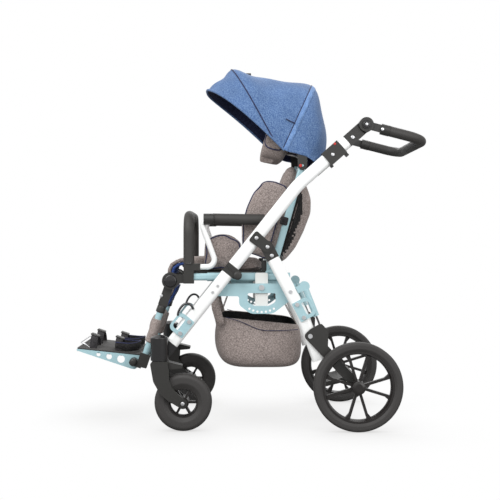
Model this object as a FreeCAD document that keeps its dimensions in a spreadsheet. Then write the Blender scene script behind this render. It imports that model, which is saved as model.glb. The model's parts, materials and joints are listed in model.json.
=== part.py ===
import FreeCAD, Part
import math
import os
import re
from types import SimpleNamespace

# Special needs stroller, in millimetres.
# It faces -X, +Z is up and the origin is on the floor under the middle of the stroller.
# The left side of the child is at -Y. Right hand pieces are mirror images of left hand ones.

Vector = FreeCAD.Vector
Rotation = FreeCAD.Rotation
Placement = FreeCAD.Placement
SIDEWAYS = Vector(0, 1, 0)

SIZES = {
    # general fits
    "running_gap": 0.06,
    "moving_gap": 1.0,
    "sliding_gap": 0.3,
    # rear wheels
    "rear_wheel_diameter": 304,
    "rear_tyre_depth": 30,
    "rear_tyre_width": 42,
    "rear_rim_depth": 11,
    "rear_rim_width": 32,
    "rear_hub_diameter": 46,
    "rear_hub_width": 44,
    "rear_spoke_width": 9,
    "rear_spoke_thickness": 14,
    "rear_spoke_splay": 17,
    "rear_track": 572,
    "rear_axle_x": 364,
    "rear_axle_diameter": 16,
    # front casters
    "caster_wheel_diameter": 196,
    "caster_tyre_depth": 46,
    "caster_tyre_width": 48,
    "caster_hub_diameter": 40,
    "caster_hub_width": 54,
    "caster_spoke_width": 8,
    "caster_spoke_thickness": 20,
    "caster_bolt_diameter": 10,
    "caster_track": 532,
    "caster_swivel_out": 42.6,
    "caster_trail": 82,
    "caster_housing_diameter": 60,
    "caster_housing_height": 74,
    "caster_housing_bottom": 240,
    "caster_stem_diameter": 18,
    "caster_fork_thickness": 9,
    # folding frame
    "tube_depth": 44,
    "tube_width": 26,
    "tube_wall": 2,
    "frame_track": 480,
    "fold_x": -70,
    "fold_z": 548,
    "fold_pivot_drop": 31,
    "fold_knuckle_length": 18,
    "fold_knuckle_radius": 8.5,
    "fold_pin_diameter": 8,
    "frame_slope": 51.5,
    "handle_slope": 41.5,
    "lower_tube_length": 322,
    "upper_tube_to_bend": 374,
    "upper_tube_past_bend": 226,
    "upper_bend_radius": 260,
    # rear legs
    "leg_pivot_along": 140,
    "leg_pivot_drop": 49,
    "leg_pin_diameter": 10,
    "leg_slope": 62.4,
    "leg_foot_slope": 70,
    "leg_to_bend": 260,
    "leg_past_bend": 170,
    "leg_bend_radius": 300,
    "leg_cap_length": 46,
    "leg_bracket_thickness": 4,
    "latch_along": 174,
    # rear suspension
    "arm_pivot_along": 80,
    "arm_thickness": 8,
    "arm_width": 34,
    "arm_ear_along": 38,
    "damper_sleeve_diameter": 22,
    "damper_bore_diameter": 17,
    "damper_rod_diameter": 7,
    "damper_sleeve_length": 96,
    "damper_lug_along": 180,
    "damper_lug_out": 52,
    "rear_axle_tube_diameter": 26,
    # side plates and cross tubes
    "tilt_pivot_x": 38,
    "tilt_pivot_z": 486,
    "tilt_pin_diameter": 12,
    "side_plate_thickness": 5,
    "side_plate_inset": 5,
    "sector_outer_radius": 99,
    "sector_hole_radius": 85,
    "sector_inner_radius": 70,
    "sector_half_angle": 52,
    "sector_hole_step": 10,
    "sector_hole_diameter": 8,
    "side_plate_front_x": -140,
    "side_plate_rear_x": 158,
    "side_plate_rise": 14,
    "side_plate_ear_height": 44,
    "side_screw_along": 70,
    "side_screw_spacing": 28,
    "cross_tube_diameter": 22,
    "front_cross_x": -82,
    "front_cross_z": 482,
    "rear_cross_x": 108,
    "rear_cross_z": 434,
    # transport tie-down plates
    "tie_plate_length": 70,
    "tie_plate_height": 62,
    "tie_plate_thickness": 5,
    "tie_slot_length": 46,
    "tie_slot_height": 24,
    "tie_bolt_spacing": 50,
    "tie_bolt_diameter": 8,
    "front_tie_along": 252,
    "rear_tie_along": 248,
    # push handle
    "handle_socket_length": 86,
    "handle_hub_diameter": 50,
    "handle_button_diameter": 30,
    "handle_button_height": 9,
    "handle_button_travel": 4,
    "handle_droop": 14.5,
    "handle_arm_length": 208,
    "handle_bar_diameter": 24,
    "handle_grip_diameter": 36,
    "handle_corner_radius": 60,
    "handle_grip_start": 84,
    "slider_length": 70,
    "slider_along": 165,
    "slider_wall": 5,
    # seat frame
    "seat_rail_track": 390,
    "seat_rail_width": 22,
    "seat_rail_depth": 30,
    "seat_rail_rise": 36,
    "seat_rail_front": -190,
    "seat_rail_rear": 100,
    "seat_extension_length": 46,
    "tilt_arm_width": 44,
    "tilt_arm_thickness": 9,
    "tilt_arm_drop": 66,
    "seat_board_thickness": 8,
    "seat_width": 340,
    "seat_cushion_width": 264,
    "seat_cushion_thickness": 44,
    "seat_cushion_front": -292,
    "seat_cushion_rear": 12,
    # armrests and bumper bar
    "armrest_rise": 246,
    "armrest_front": -200,
    "armrest_length": 205,
    "armrest_pad_diameter": 38,
    "armrest_tube_diameter": 20,
    "armrest_bend_radius": 36,
    "bumper_rise": 250,
    "bumper_foam_diameter": 38,
    "bumper_tube_diameter": 20,
    "bumper_corner_radius": 62,
    "bumper_socket_depth": 34,
    "clamp_block_length": 36,
    "clamp_block_height": 46,
    # backrest
    "recline_x": 36,
    "recline_z": 46,
    "recline_pin_diameter": 12,
    "back_angle": 16,
    "back_length": 420,
    "back_inset": 46,
    "back_tube_depth": 24,
    "back_tube_width": 16,
    "back_cushion_width": 272,
    "back_cushion_thickness": 40,
    "back_wing_length": 130,
    "back_pouch_depth": 62,
    # headrest and canopy
    "headrest_height": 150,
    "headrest_width": 270,
    "headrest_depth": 96,
    "headrest_thickness": 36,
    "headrest_bottom": 372,
    "headrest_post_diameter": 10,
    "headrest_post_spacing": 110,
    "headrest_offset": 70,
    "canopy_pivot_along": 396,
    "canopy_pin_diameter": 8,
    "canopy_cloth": 6,
    "canopy_half_width": 190,
    # leg rest and footplate
    "knee_x": -318,
    "knee_z": 22,
    "knee_disc_diameter": 60,
    "knee_pin_diameter": 10,
    "legrest_angle": 19,
    "legrest_length": 322,
    "legrest_inset": 50,
    "legrest_tube_diameter": 24,
    "calf_pad_height": 92,
    "calf_pad_thickness": 30,
    "foot_slide_end": 2,
    "foot_slide_height": 48,
    "foot_pivot_end": 8,
    "foot_pivot_out": 32,
    "footplate_length": 214,
    "footplate_inset": 42,
    "footplate_thickness": 8,
    "footplate_rise": 6,
    "foot_side_depth": 44,
    # basket under the seat
    "basket_length": 316,
    "basket_width": 356,
    "basket_height": 196,
    "basket_bottom": 188,
    "basket_middle_x": 28,
    "basket_cloth": 6,
    "basket_strap_width": 30,
    "basket_strap_thickness": 4,
    "basket_strap_track": 250,
}

doc = FreeCAD.newDocument("special_needs_stroller")
sheet = doc.addObject("Spreadsheet::Sheet", "Sizes")
for row, (name, value) in enumerate(SIZES.items(), start=1):
    sheet.set(f"A{row}", name)
    sheet.set(f"B{row}", str(value))
    sheet.setAlias(f"B{row}", name)
doc.recompute()
size = SimpleNamespace(**{name: float(sheet.get(name)) for name in SIZES})

nodes = {}
serial = 0


# Helpers that add bound objects to the document

def fresh(kind, label):
    """Add a document object with a running number in its name."""
    global serial
    serial += 1
    return doc.addObject(kind, f"{label}_{serial}")


def formula(text):
    """Turn size names into references to the sheet's cells."""
    return re.sub(r"[a-z_]+[a-z]", lambda word: f"Sizes.{word[0]}" if word[0] in SIZES else word[0], text)


def bind(item, **formulas):
    """Bind properties to the sheet and work them out."""
    for name, text in formulas.items():
        item.setExpression(name, formula(text))
    item.recompute()
    return item


def turned(angle, axis=SIDEWAYS):
    return Placement(Vector(), Rotation(axis, angle))


def moved(x=0.0, y=0.0, z=0.0):
    return Placement(Vector(x, y, z), Rotation())


ALONG_Y = turned(-90, Vector(1, 0, 0))
ALONG_X = turned(90)


def cylinder(place, radius, length, label="cylinder"):
    """Round bar, centred on a place and lying along its Z axis."""
    item = bind(fresh("Part::Cylinder", label), Radius=radius, Height=length)
    item.Placement = place * moved(z=-item.Height.Value / 2)
    return item


def crosswise(place, radius, length, label="pin"):
    """Round bar across the stroller, centred on a place."""
    return cylinder(place * ALONG_Y, radius, length, label)


def box(place, length, width, height, label="block"):
    """Block centred on a place."""
    item = bind(fresh("Part::Box", label), Length=length, Width=width, Height=height)
    item.Placement = place * moved(-item.Length.Value / 2, -item.Width.Value / 2, -item.Height.Value / 2)
    return item


def fuse(items, label="fused"):
    item = fresh("Part::MultiFuse", label)
    item.Shapes = items
    item.Refine = True
    return item


def cut(base, tools, label="cut"):
    item = fresh("Part::Cut", label)
    item.Base = base
    item.Tool = tools[0] if len(tools) == 1 else fuse(tools)
    item.Refine = True
    return item


def mirrored(item):
    """Mirror image on the other side of the stroller."""
    copy = fresh("Part::Mirroring", "mirror")
    copy.Source = item
    copy.Base = Vector()
    copy.Normal = SIDEWAYS
    return copy


def group(items):
    item = fresh("Part::Compound", "group")
    item.Links = items
    return item


def solid(shape, label="form"):
    """Free form piece made from a ready shape."""
    item = fresh("Part::Feature", label)
    item.Shape = shape
    return item


def keep(label, item):
    """Register one object as a named piece of the stroller."""
    item.Label = label
    nodes[label] = item
    return item


def keep_pair(label, left):
    """Register the left piece and its mirror image as two nodes."""
    keep(f"{label}_left", left)
    keep(f"{label}_right", mirrored(left))


def keep_both(label, left_items):
    """Register left pieces and their mirror images as one node of separate solids."""
    keep(label, group(left_items + [mirrored(item) for item in left_items]))


def rounded_edges(corners):
    """Closed outline of lines and tangent arcs, from (x, z, radius) corners.

    A rounding is limited by the shorter of the two sides that it joins.
    """
    count = len(corners)
    starts = []
    ends = []
    middles = []
    for index, (x, z, radius) in enumerate(corners):
        here = Vector(x, z, 0)
        back = Vector(*corners[index - 1][:2], 0) - here
        ahead = Vector(*corners[(index + 1) % count][:2], 0) - here
        room = 0.48 * min(back.Length, ahead.Length)
        back.normalize()
        ahead.normalize()
        half = math.acos(max(-1, min(1, back.dot(ahead)))) / 2
        reach = min(radius / math.tan(half), room)
        fitted = reach * math.tan(half)
        starts.append(here + back * reach)
        ends.append(here + ahead * reach)
        inward = back + ahead
        if radius:
            inward.normalize()
            middles.append(here + inward * (fitted / math.sin(half) - fitted))
        else:
            middles.append(None)
    edges = []
    for index in range(count):
        if middles[index]:
            edges.append(Part.Arc(starts[index], middles[index], ends[index]))
        after = starts[(index + 1) % count]
        if (after - ends[index]).Length > 0.001:
            edges.append(Part.LineSegment(ends[index], after))
    return edges


def new_body(label):
    body = fresh("PartDesign::Body", label)
    planes = {plane.Role: plane for plane in body.Origin.OriginFeatures}
    return body, planes


def new_sketch(body, plane, geometry):
    sketch = body.newObject("Sketcher::SketchObject", f"{body.Name}_sketch")
    sketch.AttachmentSupport = [(plane, "")]
    sketch.MapMode = "FlatFace"
    for edge in geometry:
        sketch.addGeometry(edge)
    return sketch


def plate(place, corners, thickness, holes=(), label="plate"):
    """Flat plate in the XZ plane of a place, padded evenly to both sides.

    Holes are either (x, z, radius) circles or lists of rounded corners.
    """
    geometry = rounded_edges(corners)
    for hole in holes:
        if isinstance(hole, list):
            geometry += rounded_edges(hole)
        else:
            geometry.append(Part.Circle(Vector(hole[0], hole[1], 0), Vector(0, 0, 1), hole[2]))
    body, planes = new_body(label)
    pad = body.newObject("PartDesign::Pad", f"{body.Name}_pad")
    pad.Profile = new_sketch(body, planes["XZ_Plane"], geometry)
    pad.SideType = "Symmetric"
    pad.setExpression("Length", formula(thickness))
    body.Placement = place
    return body


def turned_piece(place, corners, label="turned"):
    """Body of revolution about the Y axis of a place, from (y, radius, rounding) corners."""
    body, planes = new_body(label)
    flipped = [(-y, radius, rounding) for y, radius, rounding in corners]
    sketch = new_sketch(body, planes["YZ_Plane"], rounded_edges(flipped))
    sketch.AttachmentOffset = turned(180)
    revolution = body.newObject("PartDesign::Revolution", f"{body.Name}_revolution")
    revolution.Profile = sketch
    revolution.ReferenceAxis = (sketch, ["H_Axis"])
    revolution.Angle = 360
    body.Placement = place
    return body


def path_edges(points, radius):
    """Open path of straight runs joined by tangent arcs of one radius."""
    edges = []
    start = points[0]
    for before, corner, after in zip(points, points[1:], points[2:]):
        back = before - corner
        ahead = after - corner
        back.normalize()
        ahead.normalize()
        half = math.acos(max(-1, min(1, back.dot(ahead)))) / 2
        reach = radius / math.tan(half)
        inward = back + ahead
        inward.normalize()
        middle = corner + inward * (radius / math.sin(half) - radius)
        edges.append(Part.LineSegment(start, corner + back * reach).toShape())
        edges.append(Part.Arc(corner + back * reach, middle, corner + ahead * reach).toShape())
        start = corner + ahead * reach
    edges.append(Part.LineSegment(start, points[-1]).toShape())
    return edges


def swept(points, bend_radius, section, label="tube"):
    """Solid of one section carried along a bent path."""
    edges = path_edges(points, bend_radius)
    spine = solid(Part.Wire(edges), f"{label}_path")
    start = points[1] - points[0]
    section.Placement = Placement(points[0], Rotation(Vector(), SIDEWAYS, start, "ZYX"))
    sweep = fresh("Part::Sweep", label)
    sweep.Sections = [section]
    sweep.Spine = (spine, [f"Edge{index + 1}" for index in range(len(edges))])
    sweep.Solid = True
    sweep.Frenet = False
    return sweep


def ring(radius):
    return bind(fresh("Part::Circle", "section"), Radius=radius)


def round_bar(points, bend_radius, radius, label="bar"):
    return swept(points, bend_radius, ring(radius), label)


def round_tube(points, bend_radius, radius, wall, label="tube"):
    outer = round_bar(points, bend_radius, radius, label)
    return cut(outer, [round_bar(points, bend_radius, f"{radius} - {wall}", label)], label)


def oval(width, depth):
    """Flat oval section: width across the stroller, depth in the side view."""
    half_width = width / 2
    flat = depth / 2 - half_width
    sketch = fresh("Sketcher::SketchObject", "oval")
    side = half_width * Vector(0, 1, 0)
    top = Vector(flat, 0, 0)
    tip = Vector(depth / 2, 0, 0)
    sketch.addGeometry(Part.Arc(top - side, tip, top + side))
    sketch.addGeometry(Part.LineSegment(top + side, side - top))
    sketch.addGeometry(Part.Arc(side - top, Vector(-depth / 2, 0, 0), Vector() - top - side))
    sketch.addGeometry(Part.LineSegment(Vector() - top - side, top - side))
    return sketch


def oval_tube(points, bend_radius, width, depth, wall, label):
    outer = swept(points, bend_radius, oval(width, depth), label)
    inner = swept(points, bend_radius, oval(width - 2 * wall, depth - 2 * wall), label)
    return cut(outer, [inner], label)


def point(place, x, y=0.0, z=0.0):
    return place.multVec(Vector(x, y, z))


# Reference frames of the stroller

# Along the main tube: X runs up the tube from the fold, Z is square to it, upwards.
frame = moved(size.fold_x, 0, size.fold_z) * turned(-size.frame_slope)
upper = frame * moved(x=size.upper_tube_to_bend) * turned(size.frame_slope - size.handle_slope)
handle = upper * moved(x=size.upper_tube_past_bend + size.handle_socket_length)
handle = handle * turned(size.handle_slope + size.handle_droop)
# Along the rear leg: X runs down the leg from its pivot, Z is square to it, backwards.
leg_pivot = point(frame, size.leg_pivot_along, 0, -size.leg_pivot_drop)
leg = Placement(leg_pivot, Rotation(SIDEWAYS, size.leg_slope))
leg_foot = leg * moved(x=size.leg_to_bend) * turned(size.leg_foot_slope - size.leg_slope)
rear_axle = Vector(size.rear_axle_x, 0, size.rear_wheel_diameter / 2)
# Seat, backrest, leg rest and footplate, each at its own pivot.
back_track = size.seat_rail_track - size.back_inset
legrest_track = size.seat_rail_track - size.legrest_inset
footplate_width = legrest_track - size.footplate_inset
seat = moved(size.tilt_pivot_x, 0, size.tilt_pivot_z)
back = seat * moved(size.recline_x, 0, size.recline_z) * turned(size.back_angle)
knee = seat * moved(size.knee_x, 0, size.knee_z) * turned(size.legrest_angle)
foot_pivot_along = size.legrest_length - size.foot_pivot_end
foot = knee * moved(-size.foot_pivot_out, 0, -foot_pivot_along) * turned(-size.legrest_angle)
foot = foot * turned(size.footplate_rise)

tube_y = -size.frame_track / 2
tube_half = size.tube_width / 2
plate_y = tube_y + tube_half + size.side_plate_inset + size.side_plate_thickness / 2


# Frame tubes, from the casters up to the push handle

def lower_tubes():
    top = point(frame, -size.fold_knuckle_length, tube_y)
    bottom = point(frame, -size.lower_tube_length, tube_y)
    tube = oval_tube([bottom, top], 1, size.tube_width, size.tube_depth, size.tube_wall, "lower_tube")
    keep_both("lower_tubes", [tube])


def upper_tubes():
    points = [
        point(frame, size.fold_knuckle_length, tube_y),
        point(upper, 0, tube_y),
        point(upper, size.upper_tube_past_bend, tube_y),
    ]
    tube = oval_tube(points, size.upper_bend_radius, size.tube_width, size.tube_depth, size.tube_wall,
                     "upper_tube")
    keep_both("upper_tubes", [tube])


def rear_leg_tubes():
    points = [
        point(leg, size.leg_cap_length, tube_y),
        point(leg_foot, 0, tube_y),
        point(leg_foot, size.leg_past_bend, tube_y),
    ]
    tube = oval_tube(points, size.leg_bend_radius, size.tube_width, size.tube_depth, size.tube_wall, "rear_leg")
    keep_both("rear_legs", [tube])


def fold_knuckles():
    """Plastic ends of the lower and upper tubes, hinged on a pin below the tubes."""
    third = "(tube_width - 2 * moving_gap) / 3"
    length = "fold_knuckle_length - moving_gap / 2"
    step = (size.tube_width - 2 * size.moving_gap) / 3 + size.moving_gap
    pivot = frame * moved(0, tube_y, -size.fold_pivot_drop)
    middle = (size.fold_knuckle_length + size.moving_gap / 2) / 2
    web_z = -(size.fold_pivot_drop + size.tube_depth / 2) / 2

    def half(side, offsets, bore):
        pieces = [box(frame * moved(side * middle, tube_y), length, "tube_width", "tube_depth")]
        for offset in offsets:
            ear = pivot * moved(y=offset)
            web = frame * moved(side * size.fold_knuckle_length / 2, tube_y + offset, web_z)
            pieces.append(crosswise(ear, "fold_knuckle_radius", third))
            pieces.append(box(web, "fold_knuckle_length", third, "fold_pivot_drop - tube_depth / 2"))
        return cut(fuse(pieces), [crosswise(pivot, bore, "2 * tube_width")])

    keep_both("fold_knuckles_lower", [half(-1, [0], "fold_pin_diameter / 2")])
    keep_both("fold_knuckles_upper", [half(1, [-step, step], "fold_pin_diameter / 2 + running_gap")])
    return crosswise(pivot, "fold_pin_diameter / 2", "tube_width")


def leg_brackets():
    """Plates on the upper tubes that carry the pivots of the rear legs."""
    y = tube_y - tube_half - size.leg_bracket_thickness / 2
    half_top = size.tube_depth / 2
    reach = size.leg_pivot_drop + size.leg_pin_diameter * 1.6
    corners = [
        (size.leg_pivot_along - half_top, half_top * 0.7, 8),
        (size.leg_pivot_along + half_top, half_top * 0.7, 8),
        (size.leg_pivot_along + half_top * 0.8, -reach, 14),
        (size.leg_pivot_along - half_top * 0.8, -reach, 14),
    ]
    web = plate(frame * moved(y=y), corners, "leg_bracket_thickness", label="leg_bracket")
    pin_length = "tube_width + leg_bracket_thickness"
    pin = Placement(leg_pivot + Vector(0, tube_y - size.leg_bracket_thickness / 2, 0), Rotation())
    keep_both("leg_brackets", [fuse([web, crosswise(pin, "leg_pin_diameter / 2", pin_length)])])


def leg_caps():
    """Rounded plastic heads of the rear legs."""
    radius = size.tube_depth / 2
    corners = [
        (-radius, -radius, radius * 0.96),
        (size.leg_cap_length, -radius, 0),
        (size.leg_cap_length, radius, 0),
        (-radius, radius, radius * 0.96),
    ]
    hole = (0, 0, size.leg_pin_diameter / 2 + size.running_gap)
    keep_both("leg_caps", [plate(leg * moved(y=tube_y), corners, "tube_width - moving_gap", [hole], "leg_cap")])


# Base: side plates, cross tubes, tie-down plates and their bolts

def side_plate():
    """Plate beside the seat, with an arc of tilt holes under the tilt pivot."""
    x = size.tilt_pivot_x
    z = size.tilt_pivot_z
    half = math.radians(size.sector_half_angle)
    across = size.sector_outer_radius * math.sin(half)
    down = size.sector_outer_radius * math.cos(half)
    top = z + size.side_plate_rise
    low = top - size.side_plate_ear_height
    belly = z - size.sector_outer_radius + 8
    corners = [
        (size.side_plate_front_x, top, 8),
        (size.side_plate_rear_x, top, 8),
        (size.side_plate_rear_x, low, 8),
        (x + across, z - down, 20),
        (x + across * 0.5, belly, 40),
        (x - across * 0.5, belly, 40),
        (x - across, z - down, 20),
        (x - across, low, 8),
        (size.side_plate_front_x, low, 8),
    ]
    window_half = math.radians(size.sector_half_angle - 8)
    window_across = size.sector_inner_radius * math.sin(window_half)
    window_down = size.sector_inner_radius * math.cos(window_half)
    window_top = z - size.tilt_pin_diameter * 1.6
    window_floor = z - size.sector_inner_radius + 6
    window = [
        (x - window_across, window_top, 6),
        (x + window_across, window_top, 6),
        (x + window_across, z - window_down, 12),
        (x + window_across * 0.5, window_floor, 26),
        (x - window_across * 0.5, window_floor, 26),
        (x - window_across, z - window_down, 12),
    ]
    holes = [window, (x, z, size.tilt_pin_diameter / 2)]
    for index in range(-3, 4):
        angle = math.radians(index * size.sector_hole_step)
        hole_x = x + size.sector_hole_radius * math.sin(angle)
        hole_z = z - size.sector_hole_radius * math.cos(angle)
        holes.append((hole_x, hole_z, size.sector_hole_diameter / 2))
    return plate(moved(y=plate_y), corners, "side_plate_thickness", holes, "side_plate")


def base_frame():
    """Side plates welded to two cross tubes."""
    length = "frame_track - tube_width - 2 * side_plate_inset - side_plate_thickness"
    pieces = [side_plate()]
    pieces.append(mirrored(pieces[0]))
    for x, z in ((size.front_cross_x, size.front_cross_z), (size.rear_cross_x, size.rear_cross_z)):
        bar = crosswise(moved(x, 0, z), "cross_tube_diameter / 2", length)
        bore = crosswise(moved(x, 0, z), "cross_tube_diameter / 2 - tube_wall", "frame_track")
        pieces.append(cut(bar, [bore]))
    keep("base_frame", fuse(pieces))


def tilt_pivots():
    """Pins of the side plates on which the seat tilts."""
    y = plate_y + size.tilt_arm_thickness / 2
    length = "side_plate_thickness + 2 * tilt_arm_thickness"
    pin = crosswise(seat * moved(y=y), "tilt_pin_diameter / 2", length)
    head = crosswise(seat * moved(y=plate_y - size.side_plate_thickness), "tilt_pin_diameter * 0.8",
                     "side_plate_thickness")
    return fuse([pin, head])


def tie_plate(place):
    """Transport plate with a slot for a tie-down strap, bolted along the X axis of a place."""
    half = size.tie_plate_length / 2
    low = -size.tie_bolt_diameter * 2
    high = low + size.tie_plate_height
    slot_half = size.tie_slot_length / 2
    slot_top = high - size.tie_bolt_diameter
    slot_bottom = slot_top - size.tie_slot_height
    corners = [(-half, low, 4), (half, low, 4), (half, high, 18), (-half, high, 18)]
    slot = [
        (-slot_half, slot_bottom, 3),
        (slot_half, slot_bottom, 3),
        (slot_half, slot_top, 11),
        (-slot_half, slot_top, 11),
    ]
    bolt_half = size.tie_bolt_spacing / 2
    holes = [slot]
    holes += [(side * bolt_half, 0, size.tie_bolt_diameter / 2) for side in (-1, 1)]
    return plate(place, corners, "tie_plate_thickness", holes, "tie_plate")


tie_y = tube_y - tube_half - size.tie_plate_thickness / 2
front_tie = frame * moved(-size.front_tie_along, tie_y)
rear_tie = leg * moved(size.rear_tie_along, tie_y)


def tie_plates():
    keep_both("front_tie_plates", [tie_plate(front_tie)])
    keep_both("rear_tie_plates", [tie_plate(rear_tie)])


def bolt(place, through):
    """Round headed bolt whose head stands outside a place on the left of the stroller."""
    head = crosswise(place * moved(y=-size.tie_bolt_diameter * 0.3), "tie_bolt_diameter * 0.9",
                     "tie_bolt_diameter * 0.6")
    shank = place * moved(y=through / 2)
    body = crosswise(shank, "tie_bolt_diameter / 2", str(through))
    return fuse([head, body])


def tie_bolts(place):
    half = size.tie_bolt_spacing / 2
    outer = size.tie_plate_thickness / 2
    return [bolt(place * moved(side * half, -outer), size.tie_plate_thickness) for side in (-1, 1)]


def frame_bolts(fold_pin, tilt_pin):
    """Pins and bolts of the lower frame: fold, tilt, tie-down plates and side plates."""
    items = tie_bolts(front_tie) + [fold_pin, tilt_pin]
    spacer_y = tube_y + tube_half + size.side_plate_inset / 2
    head_y = tube_y - tube_half - size.tube_wall / 2
    for index in range(2):
        spot = frame * moved(-size.side_screw_along - index * size.side_screw_spacing)
        items.append(crosswise(spot * moved(y=spacer_y), "tie_bolt_diameter * 0.9", "side_plate_inset"))
        items.append(crosswise(spot * moved(y=head_y), "tie_bolt_diameter * 0.6", "tube_wall"))
    keep_both("frame_bolts", items)


def leg_bolts():
    """Bolts of the rear tie-down plates, pivots of the suspension arms and studs that latch the legs."""
    items = tie_bolts(rear_tie)
    inner_y = tube_y + tube_half
    latch = leg * moved(size.latch_along)
    stud_length = size.side_plate_inset - size.moving_gap
    stud = latch * moved(y=inner_y + stud_length / 2)
    items.append(crosswise(stud, "tie_bolt_diameter / 2", str(stud_length)))
    items.append(crosswise(latch * moved(y=tube_y - tube_half - size.tube_wall / 2), "tie_bolt_diameter * 0.8",
                           "tube_wall"))
    pivot = leg_foot * moved(size.arm_pivot_along)
    pin_length = size.arm_thickness + 2 * size.moving_gap
    face = tube_y - tube_half
    pin = crosswise(pivot * moved(y=face - pin_length / 2), "leg_pin_diameter / 2", str(pin_length))
    head_y = face - pin_length - size.tube_wall / 2
    head = crosswise(pivot * moved(y=head_y), "leg_pin_diameter * 0.8", "tube_wall")
    items.append(fuse([pin, head]))
    keep_both("leg_bolts", items)


lower_tubes()
upper_tubes()
rear_leg_tubes()
fold_pin = fold_knuckles()
leg_brackets()
leg_caps()
base_frame()
tilt_pin = tilt_pivots()
tie_plates()
frame_bolts(fold_pin, tilt_pin)
leg_bolts()


# Front casters

caster_y = -size.caster_track / 2
caster_x = point(frame, -size.lower_tube_length).x - size.caster_swivel_out
caster_axis = moved(caster_x, caster_y)
caster_centre = moved(caster_x + size.caster_trail, caster_y, size.caster_wheel_diameter / 2)
crown_top = size.caster_housing_bottom - size.moving_gap
crown_height = 22
stem_length = size.caster_housing_height * 0.7


def caster_housings():
    """Upright bearing housings at the feet of the lower tubes."""
    middle = size.caster_housing_bottom + size.caster_housing_height / 2
    barrel = cylinder(caster_axis * moved(z=middle), "caster_housing_diameter / 2", "caster_housing_height")
    socket = frame * moved(-size.lower_tube_length - size.tube_depth / 2, tube_y)
    neck = box(socket, "tube_depth", "tube_width", "tube_depth")
    bore_middle = crown_top + stem_length / 2 + size.moving_gap
    bore = cylinder(caster_axis * moved(z=bore_middle), "caster_stem_diameter / 2 + running_gap",
                    "caster_housing_height * 0.7 + 2 * moving_gap")
    below = box(caster_axis * moved(z=size.caster_housing_bottom - size.tube_depth), "4 * tube_depth",
                "2 * caster_housing_diameter", "2 * tube_depth")
    housing = cut(fuse([barrel, neck]), [bore, below])
    top = size.caster_housing_bottom + size.caster_housing_height
    radius = size.caster_housing_diameter / 2
    dome = turned_piece(caster_axis * moved(z=top) * ALONG_X * turned(90, Vector(0, 0, 1)),
                        [(0, 0, 0), (0, radius, 0), (4, radius, 3), (12, radius * 0.45, 10), (13, 0, 0)], "cap")
    keep_both("caster_housings", [housing, dome])


def caster_forks():
    drop = crown_top - size.caster_wheel_diameter / 2
    trail = size.caster_trail
    half = size.caster_housing_diameter / 2
    corners = [
        (-half, 0, 10),
        (half, 0, 6),
        (half * 1.2, -drop * 0.26, 12),
        (half * 1.16, -drop * 0.42, 20),
        (trail * 0.56, -drop * 0.62, 30),
        (trail * 0.8, -drop * 0.78, 30),
        (trail + 15, -drop + 8, 12),
        (trail + 13, -drop - 14, 12),
        (trail - 8, -drop - 16, 12),
        (trail * 0.4, -drop * 0.94, 30),
        (half * 0.2, -drop * 0.78, 30),
        (-half * 0.6, -drop * 0.48, 30),
    ]
    fender = [
        (0, -2, 0),
        (half, -2, 10),
        (trail * 0.97, -drop * 0.1, 4),
        (trail * 0.95, -drop * 0.17, 3),
        (half * 1.1, -drop * 0.2, 20),
        (0, -drop * 0.24, 0),
    ]
    hole = (trail, -drop, size.caster_bolt_diameter / 2)
    blade_y = (size.caster_hub_width + size.caster_fork_thickness) / 2 + size.moving_gap
    crown = caster_axis * moved(z=crown_top)
    pieces = []
    for side in (-1, 1):
        pieces.append(plate(crown * moved(y=side * blade_y), corners, "caster_fork_thickness", [hole], "blade"))
    pieces.append(box(crown * moved(z=-1 - crown_height / 2), "caster_housing_diameter * 0.8",
                      "caster_hub_width + caster_fork_thickness + 2 * moving_gap", str(crown_height)))
    pieces.append(plate(crown, fender, "caster_hub_width * 0.8", label="fender"))
    stem = cylinder(crown * moved(z=stem_length / 2 - 4), "caster_stem_diameter / 2",
                    "caster_housing_height * 0.7 + 8")
    pieces.append(stem)
    fork = fuse(pieces)
    bolt_length = "caster_hub_width + 2 * caster_fork_thickness + 2 * moving_gap"
    shank = crosswise(caster_centre, "caster_bolt_diameter / 2", bolt_length)
    head_y = blade_y + size.caster_fork_thickness / 2 + 2
    heads = [crosswise(caster_centre * moved(y=side * head_y), "caster_bolt_diameter", "4") for side in (-1, 1)]
    keep_pair("caster_fork", group([fork, fuse([shank] + heads)]))


def spoke(place, angle, inner, outer, width, thickness, flare, turn_sense=1):
    """One flat spoke, widened to one side where it meets the rim."""
    half = width / 2
    corners = [
        (inner, -half * turn_sense, 0),
        (outer, -half * turn_sense, 0),
        (outer, (half + flare) * turn_sense, 0),
        (outer - 2.2 * flare, half * turn_sense, 0),
        (inner, half * turn_sense, 0),
    ]
    if turn_sense < 0:
        corners.reverse()
    return plate(place * turned(angle), corners, thickness, label="spoke")


def tyre(place, outer, depth, width, label):
    inner = outer - depth
    bulge = min(depth, width / 2) * 0.9
    corners = [
        (-width * 0.36, inner, 0),
        (width * 0.36, inner, 0),
        (width / 2, inner + depth * 0.3, depth * 0.25),
        (width / 2, outer, bulge),
        (-width / 2, outer, bulge),
        (-width / 2, inner + depth * 0.3, depth * 0.25),
    ]
    return turned_piece(place, corners, label)


def wheel_rim(place, outer, depth, width, label):
    inner = outer - depth
    corners = [
        (-width / 2, inner + depth * 0.4, 0),
        (-width / 2, outer, 0),
        (width / 2, outer, 0),
        (width / 2, inner + depth * 0.4, 0),
        (width * 0.2, inner, 0),
        (-width * 0.2, inner, 0),
    ]
    return turned_piece(place, corners, label)


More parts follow.
